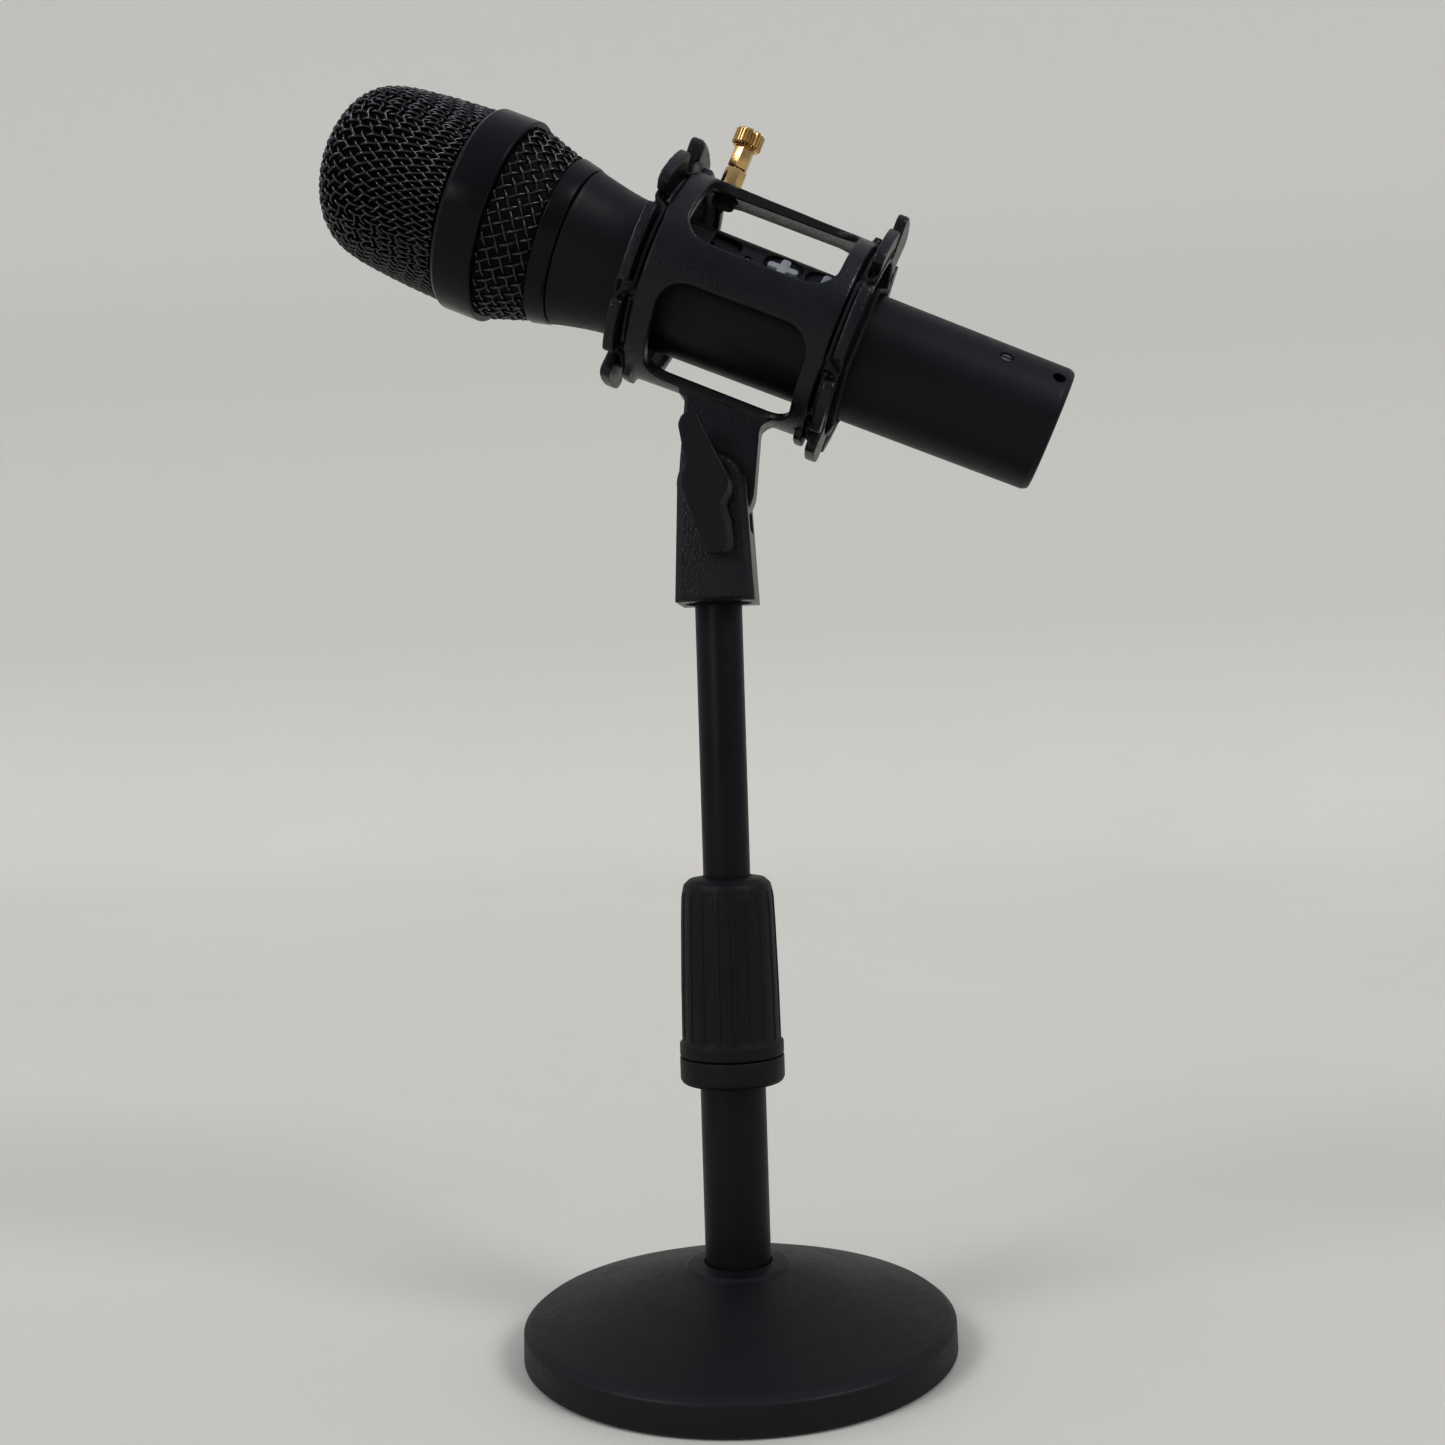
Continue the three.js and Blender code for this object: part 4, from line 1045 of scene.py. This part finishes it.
def weave(P, keep, s_max, amp):
    """wires through a net of crossings, over and under in turn, cut at s_max"""
    _, N = on_surface(P.reshape(-1, 3))
    N = N.reshape(P.shape)
    lines = []
    sub = 4
    for fam in (0, 1):
        Q, K, NN = (P, keep, N) if fam == 0 else (P.transpose(1, 0, 2), keep.T, N.transpose(1, 0, 2))
        for i in range(Q.shape[0]):
            idx = np.where(K[i] & (Q[i, :, 0] < s_max + 3.5))[0]
            if len(idx) < 3:
                continue
            runs = np.split(idx, np.where(np.diff(idx) > 1)[0] + 1)
            for run in runs:
                if len(run) < 3:
                    continue
                p, n = Q[i, run], NN[i, run]
                k = np.arange(len(run))
                t = np.linspace(0, len(run) - 1, (len(run) - 1) * sub + 1)
                # smooth path through the crossings
                pm = np.empty((len(t), 3)); nm = np.empty((len(t), 3))
                i0 = np.clip(np.floor(t).astype(int), 0, len(run) - 2)
                x = (t - i0)[:, None]
                g = np.gradient(p, axis=0)
                pm = (2 * x**3 - 3 * x**2 + 1) * p[i0] + (x**3 - 2 * x**2 + x) * g[i0] + (-2 * x**3 + 3 * x**2) * p[i0 + 1] + (x**3 - x**2) * g[i0 + 1]
                nm = n[i0] * (1 - x) + n[i0 + 1] * x
                nm /= np.linalg.norm(nm, axis=1)[:, None]
                par = (i + run[0] + fam) % 2
                wave = np.cos(math.pi * t) * (1 if par == 0 else -1)
                wave = np.sign(wave) * np.abs(wave) ** 0.8
                line = pm + nm * (amp * wave)[:, None]
                ok = line[:, 0] <= s_max
                good = np.where(ok)[0]
                if len(good) < 3:
                    continue
                for seg in np.split(good, np.where(np.diff(good) > 1)[0] + 1):
                    if len(seg) >= 3:
                        lines.append(line[seg])
    return lines


P, keep = drape()
front_lines = weave(P, keep, -75.6, WIRE_R * 0.98)
print("front wires", len(front_lines), "points", sum(len(x) for x in front_lines))
piece(tubes("basket_front_wire", front_lines, WIRE_R, 5), "basket_front_wire", "mic", "wire", ["basket_front"], HEAD, sharp=0)


def rear_basket():
    """square-woven sheet rolled into a cone, with its seam at the back"""
    sA, rA, sB, rB = -62.3, 28.8 - 2 * WIRE_R - 0.02, -48.3, 24.3 - 2 * WIRE_R - 0.02
    slope = math.atan2(rA - rB, sB - sA)
    sin_a = math.sin(slope)
    rho = lambda r: r / sin_a
    phi_max = math.pi * sin_a
    p = 3.05
    psi0 = rad(-36)
    lines = []
    Rmax, Rmin = rho(rA), rho(rB)
    n = int(Rmax / p) + 2
    step = p / 4
    for fam in (0, 1):
        for i in range(-n, n + 1):
            c = i * p
            t = np.arange(-Rmax, Rmax, step)
            x, y = (np.full_like(t, c), t) if fam == 0 else (t, np.full_like(t, c))
            R = np.hypot(x, y)
            ang = np.arctan2(y, x) + psi0
            ang = (ang + math.pi) % (2 * math.pi) - math.pi
            ok = (R < Rmax) & (R > Rmin) & (np.abs(ang) < phi_max)
            idx = np.where(ok)[0]
            if len(idx) < 2:
                continue
            wave = np.cos(math.pi * t / p) * (1 if (i + fam) % 2 == 0 else -1)
            for run in np.split(idx, np.where(np.diff(idx) > 1)[0] + 1):
                if len(run) < 2:
                    continue
                r = R[run] * sin_a
                s = sA + (rA - r) / math.tan(slope)
                th = ang[run] / sin_a
                q = np.stack([s, -np.cos(th) * r, np.sin(th) * r], 1)
                nn = np.stack([np.full_like(r, math.sin(slope)), -np.cos(th) * math.cos(slope), np.sin(th) * math.cos(slope)], 1)
                lines.append(q + nn * (WIRE_R * 0.98 * wave[run])[:, None])
    return lines


rear_lines = rear_basket()
piece(tubes("basket_rear_wire", rear_lines, WIRE_R, 6), "basket_rear_wire", "mic", "wire", ["basket_rear"], HEAD, sharp=0)

B0, B1 = -75.2, -62.6
piece(lathe_x("band", fillet([(B0, 27.0), (B0, 28.85), (B0 + 1.3, 29.8), (B1 - 0.4, 29.8), (B1, 29.4), (B1, 27.0)], [0, 0.15, 0.25, 0.3, 0.3, 0], True), 224),
      "basket_band_skin", "mic", "band", ["basket_band"], HEAD)
piece(lathe_x("neck", fillet([(-48.0, 21.2), (-48.0, 24.2), (-47.6, 24.5), (-42.9, 23.45), (-42.3, 23.0), (-42.3, 21.2)], [0, 0.3, 0.3, 0.4, 0.3, 0], True), 192),
      "neck_ring_skin", "mic", "band", ["neck_ring"], HEAD)

b_out = fillet([(-42.0, 22.6), (-41.7, 22.85), (-40.6, 22.5), (-36.5, 21.6), (-32, 20.7), (-28, 20.1), (-20, 19.4), (50, 18.6), (104.2, 18.0), (105.6, 17.35), (105.98, 16.65)],
               [0, 0.2, 1.5, 30, 30, 30, 60, 200, 1.0, 0.5, 0], n=5)
b_in = [(105.98, 15.5), (50, 15.8), (-25, 16.2), (-34, 17.0), (-42.0, 18.4)]
barrel = lathe_x("barrel", densify(b_out, 1.6) + b_in, 200)
CONTROL = rad(45)
TURN = Matrix.Rotation(math.pi / 2 - CONTROL, 4, "X")


def onstrip(o, s=0.0, y=0.0):
    o.data.transform(Matrix.Translation((s, y, 0)))
    o.data.transform(TURN)
    return o


PLUS_S, MINUS_S = 18.7, 31.4


def stadium(hx, hy, n=10):
    r = min(hx, hy)
    return fillet([(-hx, -hy), (hx, -hy), (hx, hy), (-hx, hy)], r * 0.98, True, n)


def cross_outline(half, wd, r):
    c = [(-wd, -half), (wd, -half), (wd, -wd), (half, -wd), (half, wd), (wd, wd), (wd, half), (-wd, half), (-wd, wd), (-half, wd), (-half, -wd), (-wd, -wd)]
    rr = [r, r, 0.25, r, r, 0.25, r, r, 0.25, r, r, 0.25]
    return fillet(c, rr, True, 5)


cuts = [onstrip(rod("c", "z", 5.9, 17.5, 30, 64), PLUS_S), onstrip(rod("c", "z", 5.9, 17.5, 30, 64), MINUS_S),
        onstrip(prism("c", cross_outline(4.9, 1.7, 1.3), 10, 30), PLUS_S), onstrip(prism("c", stadium(1.7, 4.9), 10, 30), MINUS_S),
        onstrip(prism("c", fillet([(-11.4, -4.4), (6.0, -4.4), (6.0, 4.4), (-11.4, 4.4)], [0.6, 4.2, 4.2, 0.6], True, 10), 17.3, 30)),
        onstrip(prism("c", [(-9.6, -1.5), (-2.4, -1.5), (-2.4, 1.5), (-9.6, 1.5)], 10, 30)),
        onstrip(rod("c", "z", 1.0, 16.7, 30, 24), 8.7, -2.6),
        onstrip(rod("c", "z", 1.9, 13, 30, 32), 102.0, -1.2), onstrip(rod("c", "z", 2.0, 16.8, 30, 32), 86.4, -1.2)]
barrel = cut(barrel, cuts)
piece(barrel, "barrel_skin", "mic", "mic", ["barrel"], HEAD, sharp=30)


def pad(name, outline, z0, z1, dome, inset=0.35):
    """a button: straight sides, softened edge, flat top"""
    o = loft(name, [(outline, z0), (outline, z1 - inset), (inset_poly(outline, inset * 0.3), z1 - inset * 0.35), (inset_poly(outline, inset), z1)])
    return o


def loft(name, rings):
    n = len(rings[0][0])
    verts, faces = [], []
    for pts, z in rings:
        verts += [(x, y, z) for x, y in pts]
    for k in range(len(rings) - 1):
        a, b = k * n, (k + 1) * n
        faces += [[a + i, a + (i + 1) % n, b + (i + 1) % n, b + i] for i in range(n)]
    faces.append(list(range(n))[::-1])
    faces.append(list(range((len(rings) - 1) * n, len(rings) * n)))
    return raw(name, verts, faces)


def studs(places, z0, z1, r=0.33):
    """small round-topped grip studs"""
    out = []
    for s, y in places:
        o = lathe("stud", [(0, z0), (r, z0), (r, z0 + (z1 - z0) * 0.45), (r * 0.78, z0 + (z1 - z0) * 0.8), (r * 0.4, z1 - 0.03), (0, z1)], 10)
        o.data.transform(Matrix.Translation((float(s), float(y), 0)))
        out.append(o)
    return out


piece(onstrip(pad("plus", cross_outline(4.6, 1.4, 1.1), 14.0, 18.6, 0.1), PLUS_S), "plus_button_skin", "vol_up", "glyph", ["plus_button"], HEAD, sharp=40)
piece(onstrip(pad("minus", stadium(1.4, 4.6), 14.0, 18.6, 0.1), MINUS_S), "minus_button_skin", "vol_down", "glyph", ["minus_button"], HEAD, sharp=40)
sw = fillet([(-11.0, -4.0), (-3.1, -4.0), (-3.1, 4.0), (-11.0, 4.0)], 0.7, True, 5)
swt = merge("sw", [loft("a", [(sw, 17.6), (sw, 18.6), (inset_poly(sw, 0.15), 18.85), (inset_poly(sw, 0.5), 18.95)]), block("b", -9.2, -6.6, -1.2, 1.2, 13.6, 18.0)]
            + studs([(s, y) for s in np.arange(-10.3, -3.6, 0.82) for y in np.arange(-3.28, 3.3, 0.82)], 18.8, 19.28))
piece(onstrip(swt), "switch_knob_skin", "mute_switch", "pebble", ["switch_knob"], HEAD, sharp=40)

# ------------------------------------------------------------------ stage and light
def sweep():
    """floor running into a far, softly curved backdrop"""
    y0, y1, R = -3.0, 1.4, 0.9
    prof = [(y0, 0.0), (y1, 0.0)] + [(y1 + R * math.sin(a), R * (1 - math.cos(a))) for a in np.linspace(0, math.pi / 2, 16)[1:]] + [(y1 + R, 4.0)]
    v, f = [], []
    for x in (-4.0, 4.0):
        v += [(x, y, z) for y, z in prof]
    n = len(prof)
    f = [[i, n + i, n + i + 1, i + 1] for i in range(n - 1)]
    me = bpy.data.meshes.new("floor")
    me.from_pydata(v, [], f)
    o = bpy.data.objects.new("floor", me)
    bpy.context.scene.collection.objects.link(o)
    me.polygons.foreach_set("use_smooth", np.ones(len(me.polygons), bool))
    m = Mat("floor_paper", spec=0.25)
    n1 = m.noise(2.2, 4, 0.6)
    n2 = m.noise(40, 3, 0.6)
    c = m.mix(m.remap(n1, 0.3, 0.7, 0, 1), (0.648, 0.629, 0.573), (0.672, 0.652, 0.596))
    xyz = m.n.new("ShaderNodeSeparateXYZ")
    m.l.new(m.coord.outputs["Object"], xyz.inputs[0])
    # painted shade and painted light: the backdrop darkens up the curve to 0.35 m high, then lightens up the wall to
    # 1.1 m, to even out how the lamps fall on it
    c = m.mix(m.remap(xyz.outputs[2], 0.0, 0.35, 0, 1), c, (0.585, 0.580, 0.529))
    c = m.mix(m.remap(xyz.outputs[2], 0.35, 1.1, 0, 1), c, (0.734, 0.716, 0.665))
    c = m.mix(m.remap(n2, 0.62, 0.8, 0, 0.15), c, (0.60, 0.595, 0.587))
    m.color(c)
    m.rough(m.remap(n2, 0.3, 0.7, 0.75, 0.9))
    me.materials.append(m.m)
    return o


sweep()


def area(name, loc, target, size, power, color=(1, 1, 1), size_y=None):
    d = bpy.data.lights.new(name, "AREA")
    d.energy = power
    d.color = color
    d.size = size
    if size_y:
        d.shape = "RECTANGLE"
        d.size_y = size_y
    o = bpy.data.objects.new(name, d)
    o.location = loc
    o.rotation_euler = (Vector(target) - Vector(loc)).to_track_quat("-Z", "Y").to_euler()
    bpy.context.scene.collection.objects.link(o)
    return o


def sun(name, azimuth, elevation, strength, angle, color):
    """a soft distant light; azimuth 0 is from the front (-Y), positive from the right"""
    d = bpy.data.lights.new(name, "SUN")
    d.energy = strength
    d.angle = rad(angle)
    d.color = color
    o = bpy.data.objects.new(name, d)
    az, el = rad(azimuth), rad(elevation)
    v = Vector((math.sin(az) * math.cos(el), -math.cos(az) * math.cos(el), math.sin(el)))
    o.rotation_euler = v.to_track_quat("Z", "Y").to_euler()
    bpy.context.scene.collection.objects.link(o)


sun("key_left", -52, 42, 0.85, 22, (1.0, 0.99, 0.97))
sun("key_right", 58, 40, 1.05, 22, (1.0, 0.99, 0.98))
sun("fill_left", -30, 12, 0.30, 14, (0.94, 0.97, 1.0))
world = bpy.data.worlds.new("world")
bpy.context.scene.world = world
world.use_nodes = True
wt = world.node_tree
back = wt.nodes["Background"]
back.inputs["Color"].default_value = (0.87, 0.92, 1.06, 1)
# a room that is brighter overhead and towards the backdrop than on the near side
w_dir = wt.nodes.new("ShaderNodeTexCoord")
w_dot = wt.nodes.new("ShaderNodeVectorMath")
w_dot.operation = "DOT_PRODUCT"
w_dot.inputs[1].default_value = (0.0, 0.60, 0.80)
w_map = wt.nodes.new("ShaderNodeMapRange")
w_map.interpolation_type = "SMOOTHSTEP"
for k, v in enumerate((-0.65, 0.35, 0.29, 0.65)):
    w_map.inputs[k + 1].default_value = v
wt.links.new(w_dir.outputs["Generated"], w_dot.inputs[0])
wt.links.new(w_dot.outputs["Value"], w_map.inputs[0])
wt.links.new(w_map.outputs[0], back.inputs["Strength"])
bpy.context.scene.view_settings.view_transform = "Standard"
bpy.context.scene.view_settings.look = "None"
bpy.context.scene.view_settings.exposure = 0.0
bpy.context.scene.view_settings.gamma = 0.8
